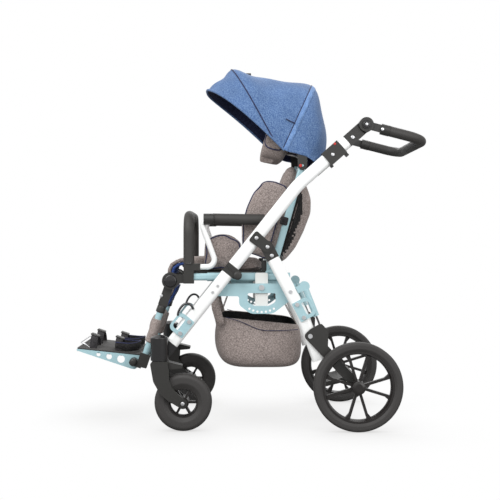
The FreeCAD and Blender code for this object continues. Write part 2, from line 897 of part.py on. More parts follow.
def caster_wheels():
    outer = size.caster_wheel_diameter / 2
    rim_outer = outer - size.caster_tyre_depth
    rim_depth = 8
    keep_pair("caster_tyre", tyre(caster_centre, outer, size.caster_tyre_depth, size.caster_tyre_width, "tyre"))
    pieces = [wheel_rim(caster_centre, rim_outer, rim_depth, size.caster_tyre_width * 0.72, "rim")]
    pieces.append(crosswise(caster_centre, "caster_hub_diameter / 2", "caster_hub_width"))
    for index in range(6):
        pieces.append(spoke(caster_centre, index * 60, size.caster_hub_diameter / 2 - 3,
                            rim_outer - rim_depth / 2, size.caster_spoke_width, "caster_spoke_thickness", 3))
    bore = crosswise(caster_centre, "caster_bolt_diameter / 2 + running_gap", "2 * caster_hub_width")
    keep_pair("caster_rim", cut(fuse(pieces), [bore]))


caster_housings()
caster_forks()
caster_wheels()


# Rear wheels, suspension arms and brake

wheel_y = -size.rear_track / 2
wheel_centre = Placement(rear_axle + Vector(0, wheel_y, 0), Rotation())
arm_pivot = point(leg_foot, size.arm_pivot_along)
arm_run = rear_axle - arm_pivot
arm_length = arm_run.Length
arm_y = tube_y - tube_half - size.moving_gap - size.arm_thickness / 2
arm = Placement(arm_pivot, Rotation(SIDEWAYS, math.degrees(math.atan2(-arm_run.z, arm_run.x))))
damper_top = point(leg, size.damper_lug_along, tube_y, size.damper_lug_out)
damper_end = point(arm, size.arm_width * 0.3, tube_y, size.arm_ear_along + 7)
damper_run = damper_end - damper_top
damper = Placement(damper_top, Rotation(Vector(0, 0, 1), damper_run))


def rear_wheels():
    outer = size.rear_wheel_diameter / 2
    rim_outer = outer - size.rear_tyre_depth
    rim_inner = rim_outer - size.rear_rim_depth
    keep_pair("rear_tyre", tyre(wheel_centre, outer, size.rear_tyre_depth, size.rear_tyre_width, "tyre"))
    pieces = [wheel_rim(wheel_centre, rim_outer, size.rear_rim_depth, size.rear_rim_width, "rim")]
    pieces.append(crosswise(wheel_centre, "rear_hub_diameter / 2", "rear_hub_width"))
    for quarter in range(4):
        for sense in (-1, 1):
            angle = quarter * 90 + sense * size.rear_spoke_splay
            pieces.append(spoke(wheel_centre, angle, size.rear_hub_diameter / 2 - 8, rim_inner + 3,
                                size.rear_spoke_width, "rear_spoke_thickness", 9, -sense))
    bore = crosswise(wheel_centre, "rear_axle_diameter / 2 + running_gap", "2 * rear_hub_width")
    rim = cut(fuse(pieces), [bore])
    face = wheel_centre * moved(y=-size.rear_hub_width / 2)
    radius = size.rear_hub_diameter / 2
    profile = [(0, 0, 0), (0, radius, 0), (-5, radius, 3), (-8, radius * 0.6, 0), (-8, 0, 0)]
    cap = turned_piece(face, profile, "cap")
    keep_pair("rear_rim", group([rim, cap]))


def rear_axle_parts():
    """Suspension arms on the rear legs, welded to the rear axle."""
    half = size.arm_width / 2
    end = arm_length + half
    ear = size.arm_ear_along + 20
    corners = [
        (-half, -half, 14),
        (end, -half, 15),
        (end, half, 15),
        (70, half, 20),
        (30, ear, 10),
        (-6, ear, 10),
        (-half, half, 10),
    ]
    holes = [
        (0, 0, size.leg_pin_diameter / 2 + size.running_gap),
        (arm_length, 0, size.rear_axle_diameter / 2),
    ]
    left = plate(arm * moved(y=arm_y), corners, "arm_thickness", holes, "arm")
    centre = Placement(rear_axle, Rotation())
    spindle = crosswise(centre, "rear_axle_diameter / 2",
                        "rear_track + rear_hub_width - 2 * moving_gap")
    tube = crosswise(centre, "rear_axle_tube_diameter / 2",
                     "frame_track + tube_width + 2 * moving_gap + arm_thickness")
    keep("axle_frame", fuse([left, mirrored(left), spindle, tube]))


def dampers():
    """Short shock absorbers between the rear legs and the suspension arms."""
    full = damper_run.Length
    sleeve_z = 14 + size.damper_sleeve_length / 2
    sleeve = cylinder(damper * moved(z=sleeve_z), "damper_sleeve_diameter / 2", "damper_sleeve_length")
    bore = cylinder(damper * moved(z=sleeve_z + 10), "damper_bore_diameter / 2", "damper_sleeve_length")
    lug = crosswise(damper, "damper_sleeve_diameter * 0.8", "tube_width * 0.6")
    arm_start = point(leg, size.damper_lug_along, tube_y, size.tube_depth / 2)
    middle = (arm_start + damper_top) * 0.5
    bridge = box(Placement(middle, leg.Rotation), "damper_sleeve_diameter",
                 "tube_width * 0.6", "damper_lug_out - tube_depth / 2")
    keep_both("damper_sleeves", [cut(fuse([sleeve, lug, bridge]), [bore])])
    rod_length = full - size.damper_sleeve_length * 0.62
    rod = cylinder(damper * moved(z=full - rod_length / 2), "damper_rod_diameter / 2", str(rod_length))
    inner = tube_y + size.damper_rod_diameter
    outer = arm_y + size.arm_thickness / 2
    eye_place = Placement(Vector(damper_end.x, (inner + outer) / 2, damper_end.z), Rotation())
    eye = crosswise(eye_place, "damper_rod_diameter", str(inner - outer))
    keep_both("damper_rods", [fuse([rod, eye])])


def brake():
    """Foot bar of the parking brake, turning on the axle tube."""
    centre = Placement(rear_axle, Rotation())
    collar = crosswise(centre, "rear_axle_tube_diameter / 2 + 6", "rear_hub_diameter * 4")
    paddle = box(centre * turned(-14) * moved(x=-58), "96", "rear_hub_diameter * 4", "16")
    bore = crosswise(centre, "rear_axle_tube_diameter / 2 + running_gap", "rear_hub_diameter * 8")
    keep("brake_bar", cut(fuse([collar, paddle]), [bore]))


rear_wheels()
rear_axle_parts()
dampers()
brake()


# Push handle and its joints

hub_thickness = "tube_width / 2 - moving_gap / 4"


def handle_sockets():
    """Plastic sockets on the upper tubes, each with the inner half of a handle joint."""
    start = upper * moved(x=size.upper_tube_past_bend)
    inner_y = tube_y + size.tube_width / 4 + size.moving_gap / 8
    neck_length = size.handle_socket_length - size.handle_hub_diameter / 2 - size.moving_gap
    neck = box(start * moved(neck_length / 2, tube_y), str(neck_length), "tube_width", "tube_depth")
    pivot = start * moved(x=size.handle_socket_length)
    disc = crosswise(pivot * moved(y=inner_y), "handle_hub_diameter / 2", hub_thickness)
    link = box(pivot * moved(-size.handle_hub_diameter / 4, inner_y), "handle_hub_diameter / 2 + 2 * moving_gap",
               hub_thickness, "tube_depth")
    pin = crosswise(pivot * moved(y=tube_y), "leg_pin_diameter / 2", "tube_width - 2 * handle_button_height")
    keep_both("handle_sockets", [fuse([neck, disc, link, pin])])


def handle_parts():
    """Swinging U-shaped handle: hubs, bar and soft grip."""
    outer_y = tube_y - size.tube_width / 4 - size.moving_gap / 8
    reach = size.handle_grip_start - 4
    disc = crosswise(handle * moved(y=outer_y), "handle_hub_diameter / 2", hub_thickness)
    face = tube_y - tube_half
    rim = crosswise(handle * moved(y=face - size.handle_button_height / 2), "handle_hub_diameter / 2",
                    "handle_button_height")
    stalk = box(handle * moved(reach / 2, outer_y), str(reach), hub_thickness, "tube_depth * 0.58")
    cuff = cylinder(handle * moved(size.handle_grip_start - 15, tube_y) * ALONG_X, "handle_grip_diameter / 2 + 1",
                    "30")
    bore = crosswise(handle * moved(y=tube_y), "leg_pin_diameter / 2 + running_gap", "2 * tube_width")
    floor_y = face - size.moving_gap
    recess = crosswise(handle * moved(y=floor_y - size.handle_button_height / 2),
                       "handle_button_diameter / 2 + sliding_gap", "handle_button_height")
    socket = cylinder(handle * moved(size.handle_grip_start, tube_y) * ALONG_X, "handle_bar_diameter / 2", "36")
    keep_both("handle_hubs", [cut(fuse([disc, rim, stalk, cuff]), [bore, recess, socket])])
    start = size.handle_grip_start - 18
    bar_points = [
        point(handle, start, tube_y),
        point(handle, size.handle_arm_length, tube_y),
        point(handle, size.handle_arm_length, -tube_y),
        point(handle, start, -tube_y),
    ]
    bar = round_tube(bar_points, size.handle_corner_radius, "handle_bar_diameter / 2", "tube_wall", "handle_bar")
    keep("handle_bar", bar)
    grip_points = [
        point(handle, size.handle_grip_start + 1, tube_y),
        point(handle, size.handle_arm_length, tube_y),
        point(handle, size.handle_arm_length, -tube_y),
        point(handle, size.handle_grip_start + 1, -tube_y),
    ]
    wall = "(handle_grip_diameter - handle_bar_diameter) / 2"
    grip = round_tube(grip_points, size.handle_corner_radius, "handle_grip_diameter / 2", wall, "handle_grip")
    keep("handle_grip", grip)
    button_y = floor_y - size.handle_button_travel - size.handle_button_height / 2
    keep_pair("handle_button", crosswise(handle * moved(y=button_y), "handle_button_diameter / 2",
                                         "handle_button_height"))


def release_sliders():
    """Sleeves on the upper tubes that are pulled up to release the fold."""
    middle = upper * moved(size.slider_along, tube_y)
    sleeve = box(middle, "slider_length", "tube_width + 2 * slider_wall", "tube_depth + 2 * slider_wall")
    lip = box(middle * moved(size.slider_length * 0.42, 0, -size.tube_depth / 2 - size.slider_wall - 5),
              "10", "tube_width", "14")
    ends = [point(middle, -size.slider_length), point(middle, size.slider_length)]
    bore = swept(ends, 1, oval(size.tube_width + 2 * size.sliding_gap, size.tube_depth + 2 * size.sliding_gap),
                 "slider_bore")
    keep_both("release_sliders", [cut(fuse([sleeve, lip]), [bore])])


handle_sockets()
handle_parts()
release_sliders()


# Seat frame

rail_y = -size.seat_rail_track / 2
rail_z = size.seat_rail_rise
block_x = size.seat_rail_front - size.seat_extension_length - size.clamp_block_length / 2


def seat_frame():
    """Rails with the tilt arms, recline lugs and cross tubes welded to them."""
    ends = [point(seat, end_x, rail_y, rail_z) for end_x in (size.seat_rail_front, size.seat_rail_rear)]
    rail = oval_tube(ends, 1, size.seat_rail_width, size.seat_rail_depth, size.tube_wall, "rail")
    arm_side = rail_y - size.seat_rail_width / 2 - size.tilt_arm_thickness / 2
    half = size.tilt_arm_width / 2
    top = rail_z + size.seat_rail_depth / 2
    corners = [
        (-half, top, 6),
        (half, top, 6),
        (half, -size.tilt_arm_drop, 8),
        (-half, -size.tilt_arm_drop, 8),
    ]
    hole = (0, 0, size.tilt_pin_diameter / 2 + size.running_gap)
    keep_both("tilt_arms", [plate(seat * moved(y=arm_side), corners, "tilt_arm_thickness", [hole], "tilt_arm")])
    lug = [
        (size.recline_x - 24, top, 2),
        (size.recline_x + 24, top, 2),
        (size.recline_x + 16, size.recline_z + 16, 10),
        (size.recline_x - 16, size.recline_z + 16, 10),
    ]
    web = plate(seat * moved(y=rail_y), lug, "seat_rail_width", label="recline_lug")
    pin_y = rail_y + size.back_inset / 4
    pin = crosswise(seat * moved(size.recline_x, pin_y, size.recline_z), "recline_pin_diameter / 2",
                    "back_inset / 2 + back_tube_width")
    span = "seat_rail_track - seat_rail_width + tube_wall"
    front = crosswise(seat * moved(size.seat_rail_front + 40, 0, rail_z), "cross_tube_diameter / 2", span)
    rear = crosswise(seat * moved(size.seat_rail_rear - 30, 0, rail_z), "cross_tube_diameter / 2", span)
    left = [rail, web, pin]
    keep("seat_frame", fuse(left + [mirrored(item) for item in left] + [front, rear]))
    board_z = rail_z + size.cross_tube_diameter / 2 + size.seat_board_thickness / 2
    board_x = (size.seat_cushion_front + size.seat_cushion_rear) / 2 + 10
    board = box(seat * moved(board_x, 0, board_z), "seat_cushion_rear - seat_cushion_front - 40", "seat_width",
                "seat_board_thickness")
    keep("seat_board", board)


def seat_front():
    """Sliding front of the seat: extension bars and the blocks that carry armrests and knees."""
    shrink = size.tube_wall + size.sliding_gap
    depth = size.seat_rail_depth - 2 * shrink
    width = size.seat_rail_width - 2 * shrink
    start = size.seat_rail_front - size.seat_extension_length
    ends = [point(seat, start, rail_y, rail_z), point(seat, size.seat_rail_front + 90, rail_y, rail_z)]
    keep_both("seat_extensions", [swept(ends, 1, oval(width, depth), "extension")])
    block = box(seat * moved(block_x, rail_y, rail_z), "clamp_block_length", "seat_rail_width + 8",
                "clamp_block_height")
    lug_x = block_x + size.clamp_block_length / 2 + 11
    foot_z = rail_z + size.clamp_block_height / 2 + 12
    lug = box(seat * moved(block_x + 11, rail_y, foot_z), "clamp_block_length + 22", "seat_rail_width", "24")
    arm_x = size.knee_x - block_x
    knee_arm = box(seat * moved(block_x + arm_x / 2, rail_y, (rail_z + size.knee_z) / 2), str(abs(arm_x)),
                   "seat_rail_width / 2", "knee_disc_diameter * 0.5")
    disc = crosswise(seat * moved(size.knee_x, rail_y, size.knee_z), "knee_disc_diameter / 2",
                     "seat_rail_width / 2")
    socket = cylinder(seat * moved(block_x, rail_y, foot_z + 12 - size.bumper_socket_depth / 2 + 1),
                      "bumper_tube_diameter / 2 + sliding_gap", "bumper_socket_depth + 2")
    tube_bore = cylinder(seat * moved(lug_x + 11, rail_y, foot_z) * ALONG_X, "armrest_tube_diameter / 2", "36")
    reach = -rail_y - legrest_track / 2
    pin = crosswise(seat * moved(size.knee_x, rail_y + reach / 2, size.knee_z), "knee_pin_diameter / 2",
                    "legrest_inset / 2 + legrest_tube_diameter")
    keep_both("seat_blocks", [cut(fuse([block, lug, knee_arm, disc, pin]), [socket, tube_bore])])
    return foot_z


def armrests(foot_z):
    """Bent tubes from the front blocks, each carrying a padded arm."""
    start = block_x + size.clamp_block_length / 2 + 4
    points = [
        point(seat, start, rail_y, foot_z),
        point(seat, size.armrest_front + 46, rail_y, foot_z),
        point(seat, size.armrest_front - 16, rail_y, size.armrest_rise - 6),
        point(seat, size.armrest_front + size.armrest_length, rail_y, size.armrest_rise - 10),
    ]
    tube = round_tube(points, size.armrest_bend_radius * 0.7, "armrest_tube_diameter / 2", "tube_wall",
                      "armrest_tube")
    keep_both("armrest_tubes", [tube])
    direction = points[3] - points[2]
    direction.normalize()
    ends = [points[3] - direction * (size.armrest_length - 30), points[3] + direction * 6]
    pad = round_bar(ends, 1, "armrest_pad_diameter / 2", "armrest_pad")
    hole_ends = [ends[0] - direction * 5, points[3]]
    hole = round_bar(hole_ends, 1, "armrest_tube_diameter / 2", "armrest_bore")
    keep_both("armrest_pads", [cut(pad, [hole])])


def bumper_bar(foot_z):
    """Padded hoop across the front of the seat, lifted out of the blocks to open."""
    base = foot_z + 12
    corner = size.bumper_corner_radius
    low = base - size.bumper_socket_depth + 4
    points = [
        point(seat, block_x, rail_y, low),
        point(seat, block_x, rail_y, size.bumper_rise),
        point(seat, block_x, -rail_y, size.bumper_rise),
        point(seat, block_x, -rail_y, low),
    ]
    keep("bumper_tube", round_tube(points, corner, "bumper_tube_diameter / 2", "tube_wall", "bumper_tube"))
    foam_points = [Vector(item) for item in points]
    foam_points[0] = point(seat, block_x, rail_y, base + 1)
    foam_points[3] = point(seat, block_x, -rail_y, base + 1)
    wall = "(bumper_foam_diameter - bumper_tube_diameter) / 2"
    keep("bumper_foam", round_tube(foam_points, corner, "bumper_foam_diameter / 2", wall, "bumper_foam"))


seat_frame()
foot_height = seat_front()
armrests(foot_height)
bumper_bar(foot_height)


# Soft pieces

def loop(place, corners):
    """Closed wire of rounded corners in the XZ plane of a place."""
    wire = Part.Wire([edge.toShape() for edge in rounded_edges(corners)])
    wire.Placement = place * turned(90, Vector(1, 0, 0))
    return wire


def pad_between(place, outline, stations):
    """Padded form: one outline scaled about its middle and lofted across the Y axis of a place.

    Stations are (y, scale) pairs from one face of the pad to the other.
    """
    middle_x = sum(corner[0] for corner in outline) / len(outline)
    middle_z = sum(corner[1] for corner in outline) / len(outline)
    wires = []
    for y, scale in stations:
        corners = []
        for x, z, radius in outline:
            corners.append((middle_x + (x - middle_x) * scale, middle_z + (z - middle_z) * scale, radius * scale))
        wires.append(loop(place * moved(y=y), corners))
    return solid(Part.makeLoft(wires, True, False), "pad")


def seat_pads():
    """Seat cushion with a rolled front edge and raised thigh guides beside it."""
    floor_z = rail_z + size.cross_tube_diameter / 2 + size.seat_board_thickness + size.sliding_gap
    front = size.seat_cushion_front
    rear = size.seat_cushion_rear
    top = floor_z + size.seat_cushion_thickness
    outline = [
        (front, floor_z + 4, 12),
        (front + 30, floor_z + 1, 20),
        (rear, floor_z + 1, 10),
        (rear, top - 6, 16),
        ((front + rear) / 2, top + 4, 120),
        (front + 26, top, 24),
        (front - 2, top - 16, 16),
    ]
    half = size.seat_cushion_width / 2
    stations = [(-half, 0.9), (-half + 14, 0.985), (0, 1.0), (half - 14, 0.985), (half, 0.9)]
    keep("seat_cushion", pad_between(seat, outline, stations))
    guide = [
        (front + 86, floor_z + 2, 18),
        (rear - 100, floor_z + 2, 18),
        (rear - 94, top + 52, 22),
        (rear - 130, top + 80, 60),
        (front + 134, top + 84, 60),
        (front + 90, top + 60, 26),
    ]
    inner = half + size.sliding_gap
    outer = size.seat_width / 2 - size.sliding_gap
    sides = [(-outer, 0.92), (-outer + 8, 1.0), (-inner - 8, 1.0), (-inner, 0.92)]
    keep_both("thigh_guides", [pad_between(seat, guide, sides)])


headrest_guide = size.back_length - 30


def back_frame():
    """Back tubes hinged on the seat, with two cross tubes."""
    y = -back_track / 2
    ends = [point(back, 0, y, 10), point(back, 0, y, size.back_length)]
    upright = swept(ends, 1, oval(size.back_tube_width, size.back_tube_depth), "back_tube")
    eye = crosswise(back * moved(y=y), "back_tube_depth / 2 + 2", "back_tube_width")
    bore = crosswise(back * moved(y=y), "recline_pin_diameter / 2 + running_gap", "2 * back_tube_width")
    pin_y = y - size.back_tube_width / 2 - 2
    canopy_pin = crosswise(back * moved(0, pin_y, size.canopy_pivot_along), "canopy_pin_diameter / 2", "6")
    left = cut(fuse([upright, eye, canopy_pin]), [bore])
    span = "seat_rail_track - back_inset - back_tube_width + tube_wall"
    low = crosswise(back * moved(z=60), "cross_tube_diameter / 2 - 2", span)
    high = crosswise(back * moved(z=headrest_guide), "cross_tube_diameter / 2 - 2", span)
    slots = []
    for side in (-1, 1):
        slot = back * moved(0, side * size.headrest_post_spacing / 2, headrest_guide)
        slots.append(cylinder(slot, "headrest_post_diameter / 2 + sliding_gap", "2 * cross_tube_diameter"))
    keep("back_frame", fuse([left, mirrored(left), low, cut(high, slots)]))


def back_pads():
    front = -size.cross_tube_diameter / 2
    deep = front - size.back_cushion_thickness
    low = 64
    high = size.back_length - 20
    outline = [
        (front, low, 10),
        (front, high, 14),
        (deep + 6, high, 16),
        (deep - 5, (low + high) / 2 + 40, 160),
        (deep + 2, (low + high) / 2 - 60, 160),
        (deep + 4, low, 14),
    ]
    half = size.back_cushion_width / 2
    stations = [(-half, 0.92), (-half + 16, 0.99), (0, 1.0), (half - 16, 0.99), (half, 0.92)]
    keep("back_cushion", pad_between(back, outline, stations))
    tip = front - size.back_wing_length
    wing = [
        (front - 4, 34, 20),
        (front - 4, 312, 20),
        (tip + 66, 318, 60),
        (tip + 26, 308, 40),
        (tip + 2, 262, 50),
        (tip - 6, 200, 80),
        (tip - 6, 140, 80),
        (tip + 12, 84, 60),
        (tip + 30, 40, 24),
    ]
    outer = back_track / 2 - size.back_tube_width / 2 - size.moving_gap
    inner = half + size.sliding_gap
    sides = [(-outer, 0.92), (-outer + 8, 1.0), (-inner - 8, 1.0), (-inner, 0.92)]
    keep_both("back_wings", [pad_between(back, wing, sides)])
    rear = size.cross_tube_diameter / 2 + 3
    deepest = rear + size.back_pouch_depth
    pouch = [
        (rear, 40, 6),
        (rear, high - 48, 10),
        (rear + 18, high - 48, 12),
        (deepest - 12, high * 0.74, 60),
        (deepest, high * 0.62, 60),
        (deepest - 6, high * 0.44, 80),
        (deepest - 18, high * 0.28, 80),
        (rear + 16, 42, 16),
    ]
    stations = [(-half, 0.9), (-half + 20, 0.99), (-half * 0.4, 1.0)]
    stations += [(half * 0.4, 1.0), (half - 20, 0.99), (half, 0.9)]
    keep("back_pouch", pad_between(back, pouch, stations))


def headrest():
    """Winged headrest on two posts that slide in the upper back tube."""
    low = size.headrest_bottom
    high = low + size.headrest_height
    half = size.headrest_width / 2
    thick = size.headrest_thickness
    place = back * moved(x=-size.headrest_offset)
    corners = [
        (0, -half, 12),
        (0, half, 12),
        (-size.headrest_depth, half, 14),
        (-size.headrest_depth, half - thick, 14),
        (-thick, half - thick * 1.2, 26),
        (-thick, -half + thick * 1.2, 26),
        (-size.headrest_depth, -half + thick, 14),
        (-size.headrest_depth, -half, 14),
    ]
    wires = []
    for z, scale in ((low, 0.9), (low + 16, 1.0), (high - 16, 1.0), (high, 0.9)):
        wire = Part.Wire([edge.toShape() for edge in rounded_edges(corners)])
        wire.scale(scale, Vector(-size.headrest_depth / 2, 0, 0))
        wire.Placement = place * moved(z=z)
        wires.append(wire)
    pad = solid(Part.makeLoft(wires, True, False), "headrest")
    top = (low + high) / 2
    posts = []
    for side in (-1, 1):
        y = side * size.headrest_post_spacing / 2
        points = [
            point(back, 0, y, headrest_guide - 40),
            point(back, 0, y, top),
            point(back, -size.headrest_offset, y, top),
        ]
        posts.append(round_bar(points, 24, "headrest_post_diameter / 2", "post"))
    keep("headrest", group([pad] + posts))


seat_pads()
back_frame()
back_pads()
headrest()


# Canopy over the head

canopy_pivot = back * moved(z=size.canopy_pivot_along) * turned(-size.back_angle)
clip_y = -(back_track + size.back_tube_width) / 2 - size.moving_gap - 1.5


def arch(x, half, low, high):
    """Closed arch across the stroller: straight sides and a rounded top."""
    spring = low + 0.35 * (high - low)
    bow = Vector(x, 0.72 * half, spring + 0.74 * (high - spring))
    left = Vector(x, -half, spring)
    right = Vector(x, half, spring)
    crown = Vector(x, 0, high)
    foot_left = Vector(x, -half, low)
    foot_right = Vector(x, half, low)
    edges = [
        Part.LineSegment(foot_left, left),
        Part.Arc(left, Vector(bow.x, -bow.y, bow.z), crown),
        Part.Arc(crown, bow, right),
        Part.LineSegment(right, foot_right),
        Part.LineSegment(foot_right, foot_left),
    ]
    return Part.Wire([edge.toShape() for edge in edges])


def canopy():
    """Cloth hood that arches from its front hem over the head to a closed back."""
    half = size.canopy_half_width
    stations = [
        (-345, half - 34, 232, 300),
        (-250, half - 14, 204, 366),
        (-135, half - 2, 134, 346),
        (-55, half, 52, 330),
        (25, half, 20, 322),
        (75, half - 12, 14, 250),
        (96, half - 28, 14, 150),
    ]
    cloth = size.canopy_cloth
    outer = [arch(*station) for station in stations]
    inner = []
    for x, wide, low, high in stations:
        inner.append(arch(x - cloth, wide - cloth, low - 2 * cloth, high - cloth))
    front = stations[0]
    opening = arch(front[0] - 40, front[1] - cloth, front[2] - 2 * cloth, front[3] - cloth)
    shell = Part.makeLoft(outer, True, True).cut(Part.makeLoft([opening] + inner, True, True))
    hood = solid(shell, "canopy")
    hood.Placement = canopy_pivot
    keep("canopy", hood)
    corners = [(-16, -15, 14), (16, -15, 14), (16, 60, 8), (-20, 80, 8)]
    hole = (0, 0, size.canopy_pin_diameter / 2 + size.running_gap)
    keep_both("canopy_clips", [plate(canopy_pivot * moved(y=clip_y), corners, "3", [hole], "clip")])


# Leg rest and footplate

def leg_rest():
    y = -legrest_track / 2
    start = size.knee_disc_diameter
    eye = crosswise(knee * moved(y=y), "knee_disc_diameter * 0.4", "legrest_tube_diameter")
    arm_box = box(knee * moved(0, y, -start * 0.9), "legrest_tube_diameter + 8", "legrest_tube_diameter",
                  "knee_disc_diameter * 1.3")
    pin_bore = crosswise(knee * moved(y=y), "knee_pin_diameter / 2 + running_gap", "2 * legrest_tube_diameter")
    tube_bore = cylinder(knee * moved(0, y, -start * 2), "legrest_tube_diameter / 2 - tube_wall",
                         "knee_disc_diameter * 2")
    keep_both("legrest_arms", [cut(fuse([eye, arm_box]), [pin_bore, tube_bore])])
    top = start * 0.9 + start * 0.65
    ends = [point(knee, 0, y, -top), point(knee, 0, y, -size.legrest_length)]
    keep_both("legrest_tubes", [round_tube(ends, 1, "legrest_tube_diameter / 2", "tube_wall", "legrest_tube")])
    high = -top - 30
    low = high - size.calf_pad_height
    front = -size.calf_pad_thickness * 0.6
    outline = [
        (front, low + 6, 10),
        (front - 5, (low + high) / 2, 60),
        (front, high - 6, 10),
        (front + size.calf_pad_thickness, high, 12),
        (front + size.calf_pad_thickness, low, 12),
    ]
    half = legrest_track / 2 - size.legrest_tube_diameter / 2 - size.sliding_gap
    stations = [(-half, 0.86), (-half + 16, 0.98), (0, 1.0), (half - 16, 0.98), (half, 0.86)]
    keep("calf_pad", pad_between(knee, outline, stations))


def foot_clamps():
    """Blocks that slide on the leg rest tubes and carry the footplate hinge."""
    y = -legrest_track / 2
    middle = size.foot_slide_end + size.foot_slide_height / 2 - size.legrest_length
    block = box(knee * moved(0, y, middle), "legrest_tube_diameter + 12", "legrest_tube_diameter + 8",
                "foot_slide_height")
    pivot = knee * moved(-size.foot_pivot_out, y, -foot_pivot_along)
    lug = crosswise(pivot, "14", "legrest_tube_diameter + 8")
    bridge = box(knee * moved(-size.foot_pivot_out / 2, y, -foot_pivot_along), "foot_pivot_out",
                 "legrest_tube_diameter + 8", "24")
    bore = cylinder(knee * moved(0, y, middle), "legrest_tube_diameter / 2 + sliding_gap", "2 * foot_slide_height")
    reach = legrest_track / 2 - footplate_width / 2
    pin = crosswise(pivot * moved(y=reach / 2 + 6), "knee_pin_diameter / 2", str(reach + 12))
    keep_both("foot_clamps", [fuse([cut(fuse([block, lug, bridge]), [bore]), pin])])


def footplate():
    half = footplate_width / 2
    length = size.footplate_length
    top = size.foot_side_depth / 2
    side_thickness = 4
    outline = [
        (26, top, 8),
        (26, -top * 0.4, 8),
        (6, -top * 1.3, 10),
        (-10, -top * 1.25, 10),
        (8 - length, top - 6, 3),
        (6 - length, top, 3),
    ]
    holes = [
        (0, 0, size.knee_pin_diameter / 2 + size.running_gap),
        (-length * 0.22, top * 0.1, top * 0.62),
        (-length * 0.42, top * 0.3, top * 0.46),
        (-length * 0.60, top * 0.48, top * 0.34),
    ]
    side = plate(foot * moved(y=-half - side_thickness / 2), outline, str(side_thickness), holes, "foot_side")
    deck_x = (26 + 6 - length) / 2
    deck = box(foot * moved(deck_x, 0, top - size.footplate_thickness / 2), "footplate_length + 16",
               "seat_rail_track - legrest_inset - footplate_inset", "footplate_thickness")
    keep("footplate", group([deck, side, mirrored(side)]))
    band = 26
    straps = []
    for x in (-length * 0.72, -length * 0.3):
        wide = half * 0.36
        tall = 44
        outer = [
            (-wide, top, 0),
            (wide, top, 0),
            (wide, top + tall, wide * 0.9),
            (-wide, top + tall, wide * 0.9),
        ]
        inner = [
            (-wide + 4, top - 5, 0),
            (wide - 4, top - 5, 0),
            (wide - 4, top + tall - 4, wide * 0.9 - 4),
            (-wide + 4, top + tall - 4, wide * 0.9 - 4),
        ]
        across = foot * moved(x, -half * 0.5) * turned(90, Vector(0, 0, 1))
        straps.append(cut(plate(across, outer, str(band)), [plate(across, inner, str(band * 2))]))
    keep_both("foot_straps", straps)


# Basket

def basket():
    """Cloth bag under the seat, open at the top and hung on the cross tubes."""
    half = size.basket_length / 2
    low = size.basket_bottom
    high = low + size.basket_height
    cloth = size.basket_cloth

    def outline(inset, lift):
        return [
            (-half * 0.94 + inset, high + lift, 4),
            (half * 0.94 - inset, high - 20 + lift, 4),
            (half - inset, low + size.basket_height * 0.5, 60),
            (half * 0.98 - inset, low + inset + 6, 34),
            (0, low + inset, 200),
            (-half * 0.8 + inset, low + inset + 12, 50),
            (-half - inset * -1, low + size.basket_height * 0.6, 60),
        ]

    place = moved(size.basket_middle_x)
    outer = plate(place, outline(0, 0), "basket_width", label="basket")
    inner = plate(place, outline(cloth, 30), "basket_width - 2 * basket_cloth", label="basket_inside")
    shell = cut(outer, [inner])
    rim_front = (place.Base.x - half * 0.94 + cloth / 2, high - 12)
    rim_rear = (place.Base.x + half * 0.94 - cloth / 2, high - 32)
    hangers = [
        (size.front_cross_x, size.front_cross_z, *rim_front),
        (size.rear_cross_x, size.rear_cross_z, *rim_rear),
    ]
    straps = []
    for x, z, rim_x, rim_z in hangers:
        for side in (-1, 1):
            y = side * size.basket_strap_track / 2
            bar = moved(x, y, z)
            run = Vector(rim_x - x, 0, rim_z - z)
            middle = Placement(Vector(x, y, z) + run * 0.5, Rotation(Vector(0, 0, 1), run))
            loop_radius = "cross_tube_diameter / 2 + basket_strap_thickness"
            wrap = crosswise(bar, loop_radius, "basket_strap_width", "strap_loop")
            band = box(middle, "basket_strap_thickness", "basket_strap_width", str(run.Length), "strap")
            hole = crosswise(bar, "cross_tube_diameter / 2", "2 * basket_strap_width")
            straps.append(cut(fuse([wrap, band]), [hole]))
    keep("basket", fuse([shell] + straps))


canopy()
leg_rest()
foot_clamps()
footplate()
basket()


def finish():
    """Check every object and write each piece to its own file."""
    doc.recompute()
    failed = [item.Label for item in doc.Objects if "Invalid" in item.State or "Error" in item.State]
    if failed:
        raise RuntimeError(f"failed objects: {failed}")
    for label, item in nodes.items():
        if item.Shape.isNull() or not item.Shape.isValid() or not item.Shape.Solids:
            raise RuntimeError(f"bad shape: {label}")
    os.makedirs("parts", exist_ok=True)
    for label, item in nodes.items():
        item.Shape.exportStep(f"parts/{label}.step")
    print(f"{len(nodes)} pieces written")


finish()
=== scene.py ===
# %% [markdown]
# Special needs stroller, dressed for its portrait.
# The frame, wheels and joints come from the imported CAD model, which stays as it is.
# Here each rigid piece gets its finish, and each cushion, cloth and strap is made anew.

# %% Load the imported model
import json
import math

import bmesh
import bpy
from mathutils import Matrix, Vector


